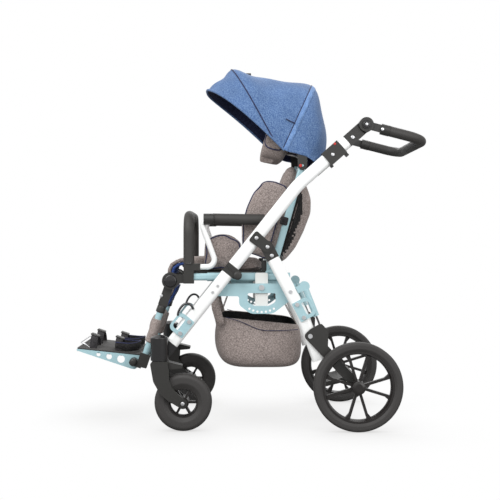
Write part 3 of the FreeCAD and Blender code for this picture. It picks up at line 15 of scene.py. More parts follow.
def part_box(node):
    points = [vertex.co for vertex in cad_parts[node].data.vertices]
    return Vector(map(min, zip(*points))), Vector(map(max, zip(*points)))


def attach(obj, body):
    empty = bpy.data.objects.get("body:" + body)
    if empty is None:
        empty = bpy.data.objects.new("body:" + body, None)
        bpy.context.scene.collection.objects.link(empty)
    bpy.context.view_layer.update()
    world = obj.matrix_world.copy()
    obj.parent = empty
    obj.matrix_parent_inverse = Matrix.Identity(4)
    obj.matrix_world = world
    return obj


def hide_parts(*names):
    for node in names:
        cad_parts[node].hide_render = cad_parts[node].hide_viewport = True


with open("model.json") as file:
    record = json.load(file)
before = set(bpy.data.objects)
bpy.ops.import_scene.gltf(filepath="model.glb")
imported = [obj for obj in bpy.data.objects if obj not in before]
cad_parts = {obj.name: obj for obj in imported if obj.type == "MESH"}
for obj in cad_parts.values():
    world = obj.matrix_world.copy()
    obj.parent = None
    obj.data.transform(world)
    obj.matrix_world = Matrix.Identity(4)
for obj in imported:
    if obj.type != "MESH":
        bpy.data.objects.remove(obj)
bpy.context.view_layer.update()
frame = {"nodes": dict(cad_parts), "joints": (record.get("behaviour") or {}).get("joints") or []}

scene = bpy.context.scene
nodes = frame["nodes"]

# %% [markdown]
# The stage is a pale floor under an even white world, as in a catalogue picture.
# A lamp could whiten the background, but that would also bleach the stroller.
# Instead, rays that come straight from the camera see white, and the floor only adds the soft shadow
# where something stands close above it. Elsewhere it is clear, so that a folded frame can't vanish under it.

# %% World and floor
WORLD_LIGHT = 0.85
FLOOR_HALF = 14.0
FLOOR_DROP = 0.0005
SHADOW_REACH = 0.32
SHADOW_DEPTH = 0.60
world = bpy.data.worlds.new("studio")
scene.world = world
world.use_nodes = True
sky = world.node_tree
sky.nodes.clear()
seen = sky.nodes.new("ShaderNodeLightPath")
either = sky.nodes.new("ShaderNodeMath")
either.operation = "MAXIMUM"
sky.links.new(seen.outputs["Is Camera Ray"], either.inputs[0])
sky.links.new(seen.outputs["Is Transmission Ray"], either.inputs[1])
strength = sky.nodes.new("ShaderNodeMapRange")
strength.inputs["To Min"].default_value = WORLD_LIGHT
strength.inputs["To Max"].default_value = 1.0
sky.links.new(either.outputs[0], strength.inputs["Value"])
background = sky.nodes.new("ShaderNodeBackground")
background.inputs["Color"].default_value = (1.0, 1.0, 1.0, 1.0)
sky.links.new(strength.outputs["Result"], background.inputs["Strength"])
sky_out = sky.nodes.new("ShaderNodeOutputWorld")
sky.links.new(background.outputs["Background"], sky_out.inputs["Surface"])

floor_mesh = bmesh.new()
bmesh.ops.create_grid(floor_mesh, x_segments=1, y_segments=1, size=FLOOR_HALF)
bmesh.ops.translate(floor_mesh, verts=floor_mesh.verts, vec=(0, 0, -FLOOR_DROP))
floor_data = bpy.data.meshes.new("floor")
floor_mesh.to_mesh(floor_data)
floor_mesh.free()
floor = bpy.data.objects.new("floor", floor_data)
scene.collection.objects.link(floor)

floor_look = bpy.data.materials.new("pale_floor")
floor_look.use_nodes = True
tree = floor_look.node_tree
tree.nodes.clear()
path = tree.nodes.new("ShaderNodeLightPath")
near = tree.nodes.new("ShaderNodeAmbientOcclusion")
near.samples = 16
near.inputs["Distance"].default_value = SHADOW_REACH
shade = tree.nodes.new("ShaderNodeMapRange")
shade.inputs["From Min"].default_value = 1.0
shade.inputs["From Max"].default_value = 0.0
shade.inputs["To Max"].default_value = SHADOW_DEPTH
tree.links.new(near.outputs["AO"], shade.inputs["Value"])
clear = tree.nodes.new("ShaderNodeBsdfTransparent")
dusk = tree.nodes.new("ShaderNodeEmission")
dusk.inputs["Color"].default_value = (0.40, 0.39, 0.38, 1.0)
shadow = tree.nodes.new("ShaderNodeMixShader")
tree.links.new(shade.outputs["Result"], shadow.inputs[0])
tree.links.new(clear.outputs[0], shadow.inputs[1])
tree.links.new(dusk.outputs[0], shadow.inputs[2])
matt = tree.nodes.new("ShaderNodeBsdfDiffuse")
matt.inputs["Color"].default_value = (0.25, 0.25, 0.25, 1.0)
both = tree.nodes.new("ShaderNodeMixShader")
tree.links.new(path.outputs["Is Camera Ray"], both.inputs[0])
tree.links.new(matt.outputs[0], both.inputs[1])
tree.links.new(shadow.outputs[0], both.inputs[2])
out = tree.nodes.new("ShaderNodeOutputMaterial")
tree.links.new(both.outputs[0], out.inputs["Surface"])
floor_data.materials.append(floor_look)
scene.view_settings.view_transform = "Standard"

# %% Soft lamps
LAMP_TARGET = Vector((0, 0, 0.6))
LAMPS = {
    # place, power, width
    "key": ((-1.9, -2.6, 3.0), 96.0, 2.6),
    "fill": ((2.4, -2.9, 1.6), 46.0, 2.4),
    "back": ((0.8, 2.6, 2.8), 46.0, 2.2),
}
for label, (place, power, width) in LAMPS.items():
    lamp = bpy.data.lights.new(label, "AREA")
    lamp.energy = power
    lamp.size = width
    holder = bpy.data.objects.new(label, lamp)
    holder.location = place
    aim = LAMP_TARGET - Vector(place)
    holder.rotation_euler = aim.to_track_quat("-Z", "Y").to_euler()
    scene.collection.objects.link(holder)
print(len(LAMPS), "soft lamps")

# %% [markdown]
# The photograph looks straight at the left side from a bit over three metres away.
# The axles' vanishing point sits a little left of and above the picture's middle,
# so the camera stays level and its lens is shifted instead of being turned.

# %% Camera
PICTURE = 500
FOCAL_PIXELS = 892
AXIS_PIXEL = (236, 239)
CAMERA_PLACE = (-0.051, -3.3165, 0.6545)
eye = bpy.data.cameras.new("camera")
eye.sensor_width = 36.0
eye.lens = FOCAL_PIXELS * eye.sensor_width / PICTURE
eye.shift_x = (PICTURE / 2 - AXIS_PIXEL[0]) / PICTURE
eye.shift_y = (AXIS_PIXEL[1] - PICTURE / 2) / PICTURE
eye.dof.use_dof = False
camera = bpy.data.objects.new("camera", eye)
camera.location = CAMERA_PLACE
camera.rotation_euler = (math.radians(90), 0, 0)
scene.collection.objects.link(camera)
scene.camera = camera
print("lens", round(eye.lens, 1), "mm")

# %% [markdown]
# Finishes come next. Every material is a small node tree on Object coordinates,
# so that a pattern stays fixed on its piece. Effects that several finishes share are
# node groups: a fine grain for moulded and painted surfaces, and a melange cloth.

# %% Helpers for materials
def linear(red, green, blue):
    """Turn a display colour, 0 to 255, into the linear values that shaders use."""
    values = []
    for channel in (red, green, blue):
        part = channel / 255
        values.append(part / 12.92 if part <= 0.04045 else ((part + 0.055) / 1.055) ** 2.4)
    return (*values, 1.0)


def new_group(name, inputs, outputs):
    """Start a shader group; inputs map a name to its default, a number or a colour."""
    group = bpy.data.node_groups.new(name, "ShaderNodeTree")
    for label, value in inputs.items():
        kind = "NodeSocketColor" if isinstance(value, tuple) else "NodeSocketFloat"
        socket = group.interface.new_socket(label, in_out="INPUT", socket_type=kind)
        socket.default_value = value
    for label, kind in outputs.items():
        group.interface.new_socket(label, in_out="OUTPUT", socket_type=kind)
    start = group.nodes.new("NodeGroupInput")
    end = group.nodes.new("NodeGroupOutput")
    return group, start, end


def noise(tree, scale, detail=3.0, coords=None):
    texture = tree.nodes.new("ShaderNodeTexNoise")
    texture.inputs["Scale"].default_value = scale
    texture.inputs["Detail"].default_value = detail
    if coords:
        tree.links.new(coords, texture.inputs["Vector"])
    return texture


def blend_colours(tree, factor, first, second):
    """Mix two colours; each may be a socket or a plain colour."""
    mix = tree.nodes.new("ShaderNodeMix")
    mix.data_type = "RGBA"
    tree.links.new(factor, mix.inputs["Factor"])
    for socket, value in ((mix.inputs["A"], first), (mix.inputs["B"], second)):
        if isinstance(value, tuple):
            socket.default_value = value
        else:
            tree.links.new(value, socket)
    return mix.outputs["Result"]


def spread(tree, value, low, high, to_low=0.0, to_high=1.0):
    """Stretch a value from one span to another."""
    remap = tree.nodes.new("ShaderNodeMapRange")
    for label, number in (("From Min", low), ("From Max", high), ("To Min", to_low), ("To Max", to_high)):
        remap.inputs[label].default_value = number
    tree.links.new(value, remap.inputs["Value"])
    return remap.outputs["Result"]


# %% Shared effects
grain_group, start, end = new_group(
    "surface_grain",
    {"Scale": 900.0, "Tint": 0.08},
    {"Height": "NodeSocketFloat", "Shade": "NodeSocketFloat", "Haze": "NodeSocketFloat"},
)
where = grain_group.nodes.new("ShaderNodeTexCoord").outputs["Object"]
fine = noise(grain_group, 900.0, 2.0, where)
grain_group.links.new(start.outputs["Scale"], fine.inputs["Scale"])
grain_group.links.new(fine.outputs["Fac"], end.inputs["Height"])
broad = noise(grain_group, 9.0, 4.0, where)
less = grain_group.nodes.new("ShaderNodeMath")
less.operation = "MULTIPLY"
grain_group.links.new(spread(grain_group, broad.outputs["Fac"], 0.3, 0.7), less.inputs[0])
grain_group.links.new(start.outputs["Tint"], less.inputs[1])
grain_group.links.new(less.outputs[0], end.inputs["Shade"])
grain_group.links.new(spread(grain_group, broad.outputs["Fac"], 0.3, 0.7), end.inputs["Haze"])

cloth_group, start, end = new_group(
    "melange_cloth",
    {"Light": (0.3, 0.3, 0.3, 1.0), "Dark": (0.1, 0.1, 0.1, 1.0)},
    {"Color": "NodeSocketColor", "Height": "NodeSocketFloat"},
)
where = cloth_group.nodes.new("ShaderNodeTexCoord").outputs["Object"]
slub_heights = []
for stretch in ((1.0, 1.0, 0.32), (0.32, 1.0, 1.0)):
    mapping = cloth_group.nodes.new("ShaderNodeMapping")
    mapping.inputs["Scale"].default_value = stretch
    cloth_group.links.new(where, mapping.inputs["Vector"])
    slub = noise(cloth_group, 560.0, 3.0, mapping.outputs["Vector"])
    slub_heights.append(slub.outputs["Fac"])
slubs = cloth_group.nodes.new("ShaderNodeMath")
slubs.operation = "ADD"
for index, height in enumerate(slub_heights):
    cloth_group.links.new(height, slubs.inputs[index])
mixed = blend_colours(cloth_group, spread(cloth_group, slubs.outputs[0], 0.86, 1.16),
                      start.outputs["Dark"], start.outputs["Light"])
patches = noise(cloth_group, 14.0, 3.0, where)
shade = blend_colours(cloth_group, spread(cloth_group, patches.outputs["Fac"], 0.35, 0.65),
                      (0.86, 0.86, 0.86, 1.0), (1.0, 1.0, 1.0, 1.0))
tinted = cloth_group.nodes.new("ShaderNodeMix")
tinted.data_type = "RGBA"
tinted.blend_type = "MULTIPLY"
tinted.inputs["Factor"].default_value = 1.0
cloth_group.links.new(mixed, tinted.inputs["A"])
cloth_group.links.new(shade, tinted.inputs["B"])
cloth_group.links.new(tinted.outputs["Result"], end.inputs["Color"])
cloth_group.links.new(slubs.outputs[0], end.inputs["Height"])
print("2 shared effects")

# %% Makers of finishes
def new_finish(name):
    look = bpy.data.materials.new(name)
    look.use_nodes = True
    tree = look.node_tree
    return look, tree, tree.nodes["Principled BSDF"]


def place_group(tree, group, **values):
    item = tree.nodes.new("ShaderNodeGroup")
    item.node_tree = group
    for label, value in values.items():
        item.inputs[label.replace("_", " ").title()].default_value = value
    return item


def add_bump(tree, shader, height, distance, strength=1.0):
    bump = tree.nodes.new("ShaderNodeBump")
    bump.inputs["Distance"].default_value = distance
    bump.inputs["Strength"].default_value = strength
    tree.links.new(height, bump.inputs["Height"])
    tree.links.new(bump.outputs["Normal"], shader.inputs["Normal"])


def hard_finish(name, colour, roughness, scale=900.0, relief=0.00004, metallic=0.0, coat=0.0, tint=0.10):
    """Painted, moulded or metal surface with a fine grain and a slight unevenness."""
    look, tree, shader = new_finish(name)
    grain = place_group(tree, grain_group, scale=scale, tint=tint)
    darker = tuple(channel * 0.55 for channel in colour[:3]) + (1.0,)
    tree.links.new(blend_colours(tree, grain.outputs["Shade"], colour, darker), shader.inputs["Base Color"])
    rough = spread(tree, grain.outputs["Haze"], 0.0, 1.0, roughness * 0.85, min(1.0, roughness * 1.18))
    tree.links.new(rough, shader.inputs["Roughness"])
    shader.inputs["Metallic"].default_value = metallic
    shader.inputs["Coat Weight"].default_value = coat
    shader.inputs["Coat Roughness"].default_value = 0.08
    add_bump(tree, shader, grain.outputs["Height"], relief)
    return look


def cloth_finish(name, light, dark, roughness=0.92, relief=0.0006, sheen=0.12):
    """Melange cloth: light and dark yarns mixed, with a soft woven relief."""
    look, tree, shader = new_finish(name)
    weave = place_group(tree, cloth_group, light=light, dark=dark)
    tree.links.new(weave.outputs["Color"], shader.inputs["Base Color"])
    shader.inputs["Roughness"].default_value = roughness
    shader.inputs["Sheen Weight"].default_value = sheen
    shader.inputs["Specular IOR Level"].default_value = 0.2
    add_bump(tree, shader, weave.outputs["Height"], relief, 0.7)
    return look


# %% The stroller's finishes
white_paint = hard_finish("white_paint", linear(246, 247, 246), 0.30, 1400.0, 0.00002, coat=0.35, tint=0.03)
blue_paint = hard_finish("light_blue_paint", linear(165, 199, 206), 0.42, 1400.0, 0.00003, coat=0.15)
black_plastic = hard_finish("black_plastic", linear(47, 46, 44), 0.40, 1100.0, 0.00008)
gloss_plastic = hard_finish("black_gloss_plastic", linear(34, 33, 34), 0.24, 900.0, 0.00002, coat=0.3)
tyre_rubber = hard_finish("tyre_rubber", linear(56, 54, 53), 0.66, 800.0, 0.00012)
wheel_plastic = hard_finish("wheel_plastic", linear(36, 33, 32), 0.32, 1000.0, 0.00006)
bright_steel = hard_finish("bright_steel", linear(228, 229, 231), 0.34, 700.0, 0.00002, metallic=1.0)
dark_steel = hard_finish("dark_steel", linear(88, 88, 90), 0.36, 700.0, 0.00003, metallic=1.0)
pale_paint = hard_finish("pale_paint", linear(226, 227, 224), 0.45, 1200.0, 0.00003)
black_foam = hard_finish("black_foam", linear(54, 52, 50), 0.60, 1500.0, 0.00020)
red_plastic = hard_finish("red_plastic", linear(196, 52, 44), 0.35, 1000.0, 0.00003)
grey_cloth = cloth_finish("grey_melange_cloth", linear(176, 164, 159), linear(122, 111, 107))
canopy_cloth = cloth_finish("blue_melange_cloth", linear(112, 140, 180), linear(68, 97, 144))
zip_cloth = cloth_finish("zip_tape", linear(128, 160, 206), linear(92, 126, 178))
navy_cloth = cloth_finish("navy_lining", linear(54, 60, 92), linear(26, 30, 54))
navy_piping = cloth_finish("navy_piping", linear(62, 66, 100), linear(30, 33, 58), relief=0.0003)
blue_lining = cloth_finish("bright_blue_lining", linear(66, 92, 156), linear(38, 58, 112))
black_cloth = cloth_finish("black_cloth", linear(52, 51, 51), linear(20, 20, 21))
webbing = cloth_finish("black_webbing", linear(64, 62, 64), linear(30, 29, 31), relief=0.0008)
print(len(bpy.data.materials), "finishes")

# %% [markdown]
# The rigid nodes keep their CAD shape: tubes, plates, wheels and joints are already right.
# Each only needs the finish that the photograph shows. A CAD mesh is never edited,
# so the finish goes into its material slot.

# %% Finishes of the rigid nodes
FINISHES = {
    white_paint: ["lower_tubes", "upper_tubes", "rear_legs", "armrest_tubes"],
    blue_paint: ["base_frame", "front_tie_plates", "rear_tie_plates", "seat_frame", "seat_extensions",
                 "back_frame", "legrest_tubes", "damper_sleeves", "footplate"],
    pale_paint: ["tilt_arms"],
    black_plastic: ["fold_knuckles_lower", "fold_knuckles_upper", "leg_brackets", "leg_caps",
                    "caster_fork_left", "caster_fork_right", "handle_sockets", "handle_hubs",
                    "release_sliders", "seat_blocks", "legrest_arms", "foot_clamps", "canopy_clips",
                    "brake_bar", "seat_board", "axle_frame"],
    gloss_plastic: ["caster_housings", "handle_button_left", "handle_button_right"],
    tyre_rubber: ["rear_tyre_left", "rear_tyre_right", "caster_tyre_left", "caster_tyre_right"],
    wheel_plastic: ["rear_rim_left", "rear_rim_right", "caster_rim_left", "caster_rim_right"],
    bright_steel: ["frame_bolts", "leg_bolts", "handle_bar", "bumper_tube"],
    dark_steel: ["damper_rods"],
    black_foam: ["handle_grip", "armrest_pads", "bumper_foam"],
}


def dress(piece, look):
    piece.data.materials.clear()
    piece.data.materials.append(look)


for look, names in FINISHES.items():
    for name in names:
        dress(nodes[name], look)
print(sum(len(names) for names in FINISHES.values()), "nodes dressed")

# %% [markdown]
# The padded pieces are sewn covers over foam. A plain block never looks soft, because a real
# cover bulges between its seams. So each pad starts as a copy of its CAD solid, is given an even
# skin of small faces, drawn in a little, and then blown up as cloth under a low pressure.
# The swelling is capped, so that a pad stays in the room that the CAD model keeps for it.

# %% Helpers for padded pieces
def add_piece(name, mesh, look, body):
    """Turn a bmesh into a finished piece that rides on a body."""
    data = bpy.data.meshes.new(name)
    mesh.to_mesh(data)
    mesh.free()
    piece = bpy.data.objects.new(name, data)
    scene.collection.objects.link(piece)
    data.materials.append(look)
    data.polygons.foreach_set("use_smooth", [True] * len(data.polygons))
    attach(piece, body)
    return piece


def apply_modifiers(piece):
    evaluated = piece.evaluated_get(bpy.context.evaluated_depsgraph_get())
    mesh = bpy.data.meshes.new_from_object(evaluated)
    piece.modifiers.clear()
    piece.data = mesh


def node_copy(node):
    """Merged copy of a CAD node's loose triangles."""
    mesh = bmesh.new()
    mesh.from_mesh(nodes[node].data)
    bmesh.ops.remove_doubles(mesh, verts=mesh.verts, dist=0.00002)
    return mesh


def even_skin(piece, voxel):
    remesh = piece.modifiers.new("even_skin", "REMESH")
    remesh.mode = "VOXEL"
    remesh.voxel_size = voxel
    apply_modifiers(piece)


def stuff(piece, cap, pressure=4.0):
    """Blow the cover up as cloth, and hold back what swells further than the cap."""
    data = piece.data
    for vertex, normal in zip(data.vertices, [v.normal.copy() for v in data.vertices]):
        vertex.co -= normal * cap * 0.75
    before = [vertex.co.copy() for vertex in data.vertices]
    cloth = piece.modifiers.new("stuffing", "CLOTH")
    cloth.settings.use_pressure = True
    cloth.settings.uniform_pressure_force = pressure
    cloth.settings.effector_weights.gravity = 0
    for step in range(1, 21):
        scene.frame_set(step)
    apply_modifiers(piece)
    for vertex, start in zip(piece.data.vertices, before):
        move = vertex.co - start
        if move.length > cap:
            vertex.co = start + move.normalized() * cap
    scene.frame_set(1)


SIDES = (("left", -1), ("right", 1))


def smooth_rounds(mesh, rounds):
    """Move every point half way to the middle of its neighbours, again and again."""
    for _ in range(rounds):
        bmesh.ops.smooth_vert(mesh, verts=mesh.verts, factor=0.5,
                              use_axis_x=True, use_axis_y=True, use_axis_z=True)


def round_edges(mesh, edges, offset, segments=3):
    """Break sharp edges, so that they catch the light."""
    bmesh.ops.bevel(mesh, geom=list(edges), offset=offset, segments=segments, profile=0.5,
                    affect="EDGES", material=-1)


def soften(piece, rounds=3):
    mesh = bmesh.new()
    mesh.from_mesh(piece.data)
    smooth_rounds(mesh, rounds)
    mesh.to_mesh(piece.data)
    mesh.free()


def finish_pad(piece, look):
    piece.data.materials.clear()
    piece.data.materials.append(look)
    piece.data.polygons.foreach_set("use_smooth", [True] * len(piece.data.polygons))


def pad_from(node, body, look, cap, voxel=0.006, mesh=None):
    piece = add_piece(f"{node}_cover", mesh or node_copy(node), look, body)
    even_skin(piece, voxel)
    stuff(piece, cap)
    soften(piece)
    finish_pad(piece, look)
    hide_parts(node)
    print(piece.name, len(piece.data.polygons), "faces")
    return piece


# %% [markdown]
# A welt of navy piping runs round the side pads, where the two panels of a cover are sewn.
# It could be drawn as a curve by hand, but then it would not follow the swollen cover.
# Cutting a copy of the cover with a plane leaves the very line that the welt lies on.

# %% Helper for welts
WELT_STEP = 0.004
WELT_ROUNDS = 4
WELT_RADIUS = 0.0026


def welt(name, pad, point, normal, radius, body, look, keep=None):
    """Round cord along the line where a plane cuts a pad."""
    mesh = bmesh.new()
    mesh.from_mesh(pad.data)
    everything = mesh.verts[:] + mesh.edges[:] + mesh.faces[:]
    cut = bmesh.ops.bisect_plane(mesh, geom=everything, plane_co=point, plane_no=normal)
    line = {item for item in cut["geom_cut"] if isinstance(item, bmesh.types.BMEdge)}
    bmesh.ops.delete(mesh, geom=mesh.faces[:], context="FACES_ONLY")
    bmesh.ops.delete(mesh, geom=[edge for edge in mesh.edges if edge not in line], context="EDGES")
    bmesh.ops.delete(mesh, geom=[vert for vert in mesh.verts if not vert.link_edges], context="VERTS")
    if keep:
        bmesh.ops.delete(mesh, geom=[vert for vert in mesh.verts if not keep(vert.co)], context="VERTS")
    bmesh.ops.remove_doubles(mesh, verts=mesh.verts, dist=WELT_STEP)
    smooth_rounds(mesh, WELT_ROUNDS)
    data = bpy.data.meshes.new(name)
    mesh.to_mesh(data)
    mesh.free()
    piece = bpy.data.objects.new(name, data)
    scene.collection.objects.link(piece)
    bpy.ops.object.select_all(action="DESELECT")
    piece.select_set(True)
    bpy.context.view_layer.objects.active = piece
    bpy.ops.object.convert(target="CURVE")
    piece.data.bevel_depth = radius
    piece.data.bevel_resolution = 2
    piece.data.use_fill_caps = True
    bpy.ops.object.convert(target="MESH")
    piece.data.materials.clear()
    piece.data.materials.append(look)
    piece.data.polygons.foreach_set("use_smooth", [True] * len(piece.data.polygons))
    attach(piece, body)
    return piece


# %% Seat, back and side pads
def plump(piece, factors, about):
    """Stretch a soft cover about one of its corners."""
    mesh = bmesh.new()
    mesh.from_mesh(piece.data)
    bmesh.ops.scale(mesh, verts=mesh.verts, vec=factors, space=Matrix.Translation(-Vector(about)))
    mesh.to_mesh(piece.data)
    mesh.free()


pad_from("seat_cushion", "seat", grey_cloth, 0.010)
thigh_cover = pad_from("thigh_guides", "seat", grey_cloth, 0.006, 0.005)
low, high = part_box("thigh_guides")
plump(thigh_cover, (1.12, 1.0, 1.06), low)
pad_from("back_cushion", "backrest", grey_cloth, 0.010)
wing_cover = pad_from("back_wings", "backrest", grey_cloth, 0.007, 0.005)
low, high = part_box("back_wings")
plump(wing_cover, (1.06, 1.0, 1.035), (high[0], 0, low[2]))
pad_from("calf_pad", "legrest", grey_cloth, 0.007, 0.005)
pouch_cover = pad_from("back_pouch", "backrest", grey_cloth, 0.008)

# The pouch is open at its sides, but the pad is closed: only a rim of its rear panel is grey, and the rest of
# each side gets black cloth as painted shade for the dark inside of the opening.
pouch_cover.data.materials.append(black_cloth)
POUCH_RIM = 0.030
POUCH_ROW = 0.012
rear_edge = {}
for face in pouch_cover.data.polygons:
    row = round(face.center.z / POUCH_ROW)
    rear_edge[row] = max(rear_edge.get(row, -1.0), face.center.x)
for face in pouch_cover.data.polygons:
    shaded_opening = face.center.x < rear_edge[round(face.center.z / POUCH_ROW)] - POUCH_RIM
    face.material_index = int(shaded_opening and abs(face.normal.y) > 0.35)

# %% Welts on the side pads
PAD_WELT_INSET = 0.007
for label, side in SIDES:
    for name, pad, node, body in (("thigh", thigh_cover, "thigh_guides", "seat"),
                                  ("wing", wing_cover, "back_wings", "backrest")):
        low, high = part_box(node)
        line = Vector((0, side * (high[1] - PAD_WELT_INSET), 0))
        welt(f"{name}_welt_{label}", pad, line, (0, 1, 0), WELT_RADIUS, body, navy_piping,
             keep=lambda place: place.y * side > 0)
print("welts sewn")

# %% Padded sleeves on the leg rest tubes
def sleeve(name, body, low, high, radius, look):
    """Soft tube round a straight rod, on both sides of the stroller."""
    mesh = bmesh.new()
    for side in (-1, 1):
        ends = [Vector((end[0], end[1] * side, end[2])) for end in (low, high)]
        run = ends[1] - ends[0]
        place = Matrix.Translation((ends[0] + ends[1]) / 2) @ run.to_track_quat("Z", "Y").to_matrix().to_4x4()
        made = bmesh.ops.create_cone(mesh, cap_ends=True, segments=28, radius1=radius, radius2=radius * 0.94,
                                     depth=run.length, matrix=place)
        rims = {edge for vert in made["verts"] for edge in vert.link_edges if len(edge.link_faces) == 2
                and any(len(face.verts) > 4 for face in edge.link_faces)}
        round_edges(mesh, rims, radius * 0.3, 4)
    return add_piece(name, mesh, look, body)


calf_sleeves = sleeve("calf_sleeves", "legrest", (-0.3549, 0.170, 0.290), (-0.3272, 0.170, 0.372),
                      0.0185, grey_cloth)
sleeve("back_straps", "backrest", (0.1155, 0.172, 0.704), (0.1235, 0.172, 0.732),
       0.0155, webbing)
sleeve("legrest_collars", "legrest", (-0.3194, 0.170, 0.395), (-0.3107, 0.170, 0.4205),
       0.0165, black_plastic)
print("sleeves and straps added")

# %% [markdown]
# The canopy is one sheet of cloth over hidden hoops. It could be cut from flat panels, but a hood
# is curved everywhere, so it is made as a fan: half a circle is extruded along a row of steps,
# and each step becomes one hoop, turned about the canopy's pivot and stretched to its own size.

# %% Helpers for the hood
def joint_place(name):
    return Vector(next(joint["pos_m"] for joint in frame["joints"] if joint["name"] == name))


def between(stations, place):
    """Smooth values between stations; the first value of a station is its own place."""
    last = len(stations) - 1
    index = min(int(place), last - 1)
    share = place - index
    values = []
    for column in range(len(stations[0])):
        before = stations[max(index - 1, 0)][column]
        here = stations[index][column]
        after = stations[index + 1][column]
        beyond = stations[min(index + 2, last)][column]
        leave = (after - before) / 2
        arrive = (beyond - here) / 2
        values.append(here + leave * share + (3 * (after - here) - 2 * leave - arrive) * share ** 2
                      + (2 * (here - after) + leave + arrive) * share ** 3)
    return values


# %% Canopy sheet
CANOPY_STEPS = 42
CANOPY_SIDE = 0.186
CANOPY_HOOPS = [
    # angle of the hoop about the canopy's pivot, half width, lower end, crown, squareness
    (140.0, 0.182, 0.084, 0.446, 0.30),
    (136.0, 0.183, 0.068, 0.444, 0.22),
    (131.0, 0.184, 0.058, 0.440, 0.14),
    (126.0, 0.185, 0.052, 0.446, 0.06),
    (122.5, 0.186, 0.049, 0.436, 0.04),
    (117.5, 0.187, 0.045, 0.393, 0.02),
    (110.0, 0.188, 0.040, 0.357, 0.0),
    (100.0, 0.189, 0.036, 0.329, 0.0),
    (85.0, 0.190, 0.033, 0.319, 0.0),
    (77.5, 0.188, 0.033, 0.292, 0.0),
    (70.0, 0.185, 0.033, 0.234, 0.0),
    (58.0, 0.180, 0.033, 0.180, 0.0),
    (44.0, 0.174, 0.035, 0.136, 0.0),
    (30.0, 0.168, 0.038, 0.109, 0.0),
    (18.0, 0.162, 0.042, 0.096, 0.0),
]
canopy_pivot = joint_place("canopy_swing")
hood = bmesh.new()
bmesh.ops.create_circle(hood, segments=48, radius=1.0)
bmesh.ops.rotate(hood, verts=hood.verts, matrix=Matrix.Rotation(math.radians(90), 3, "Z"))
bmesh.ops.rotate(hood, verts=hood.verts, matrix=Matrix.Rotation(math.radians(90), 3, "Y"))
low_half = [vert for vert in hood.verts if vert.co.z < -0.001]
bmesh.ops.delete(hood, geom=low_half, context="VERTS")
for _ in range(4):
    ends = [vert for vert in hood.verts if len(vert.link_edges) == 1]
    grown = bmesh.ops.extrude_vert_indiv(hood, verts=ends)
    bmesh.ops.translate(hood, verts=grown["verts"], vec=(0, 0, -1 / 4))
edge_row = hood.edges[:]
for _ in range(CANOPY_STEPS):
    grown = bmesh.ops.extrude_edge_only(hood, edges=edge_row)["geom"]
    row_verts = [item for item in grown if isinstance(item, bmesh.types.BMVert)]
    bmesh.ops.translate(hood, verts=row_verts, vec=(1, 0, 0))
    edge_row = [item for item in grown if isinstance(item, bmesh.types.BMEdge)]
front_edge = []
for vert in hood.verts:
    step, side, rise = vert.co
    angle, half, low, high, square = between(CANOPY_HOOPS, step / CANOPY_STEPS * (len(CANOPY_HOOPS) - 1))
    spring = low + 0.35 * (high - low)
    reach = high - spring if rise > 0 else spring - low
    wide = half if rise > 0 else half + (CANOPY_SIDE - half) * -rise
    side = math.copysign(abs(side) ** (1 - square), side)
    rise = rise ** (1 - square) if rise > 0 else rise
    angle -= 9 * square * (1 - rise * rise) * (rise > -1)
    slack = 0.003 * math.sin(step * 0.8 + side * 5) * (0 < step < CANOPY_STEPS) * (rise > -0.9)
    distance = spring + rise * reach + slack
    turn = math.radians(angle)
    vert.co = canopy_pivot + Vector((distance * math.cos(turn), side * wide, distance * math.sin(turn)))
    if step < 0.5:
        front_edge.append(vert.co.copy())
bmesh.ops.recalc_face_normals(hood, faces=hood.faces)
canopy = add_piece("canopy_cloth", hood, canopy_cloth, "canopy")
canopy.data.materials.append(navy_cloth)
skin = canopy.modifiers.new("cloth", "SOLIDIFY")
skin.thickness = 0.003
skin.offset = -1.0
skin.material_offset = 1
smooth = canopy.modifiers.new("smooth", "SUBSURF")
smooth.levels = 1
smooth.render_levels = 1
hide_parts("canopy")

# %% Helper for wires and cords of cloth
def wire(name, body, runs, radius, look):
    """Bent round wire through smooth points."""
    curve = bpy.data.curves.new(name, "CURVE")
    curve.dimensions = "3D"
    curve.bevel_depth = radius
    curve.bevel_resolution = 3
    curve.use_fill_caps = True
    for points in runs:
        spline = curve.splines.new("NURBS")
        spline.points.add(len(points) - 1)
        for point, place in zip(spline.points, points):
            point.co = (*place, 1.0)
        spline.order_u = 3
        spline.use_endpoint_u = True
        spline.resolution_u = 8
    piece = bpy.data.objects.new(name, curve)
    scene.collection.objects.link(piece)
    bpy.ops.object.select_all(action="DESELECT")
    piece.select_set(True)
    bpy.context.view_layer.objects.active = piece
    bpy.ops.object.convert(target="MESH")
    dress(piece, look)
    piece.data.polygons.foreach_set("use_smooth", [True] * len(piece.data.polygons))
    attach(piece, body)
    return piece


# %% Canopy seams, hem and zip
def canopy_tape(name, point, normal, width, look, lift=0.0012):
    """Strip of the hood's own skin between two planes, lifted off the cloth."""
    tape = bmesh.new()
    tape.from_mesh(canopy.data)
    axis = Vector(normal).normalized()
    for sign in (-1, 1):
        everything = tape.verts[:] + tape.edges[:] + tape.faces[:]
        bmesh.ops.bisect_plane(tape, geom=everything, plane_co=Vector(point) + axis * sign * width / 2,
                               plane_no=axis * sign, clear_outer=True)
    tape.normal_update()
    for vert in tape.verts:
        vert.co += vert.normal * lift
    piece = add_piece(name, tape, look, "canopy")
    dress(piece, look)
    thick = piece.modifiers.new("tape", "SOLIDIFY")
    thick.thickness = 0.0016
    thick.offset = -1.0
    return piece


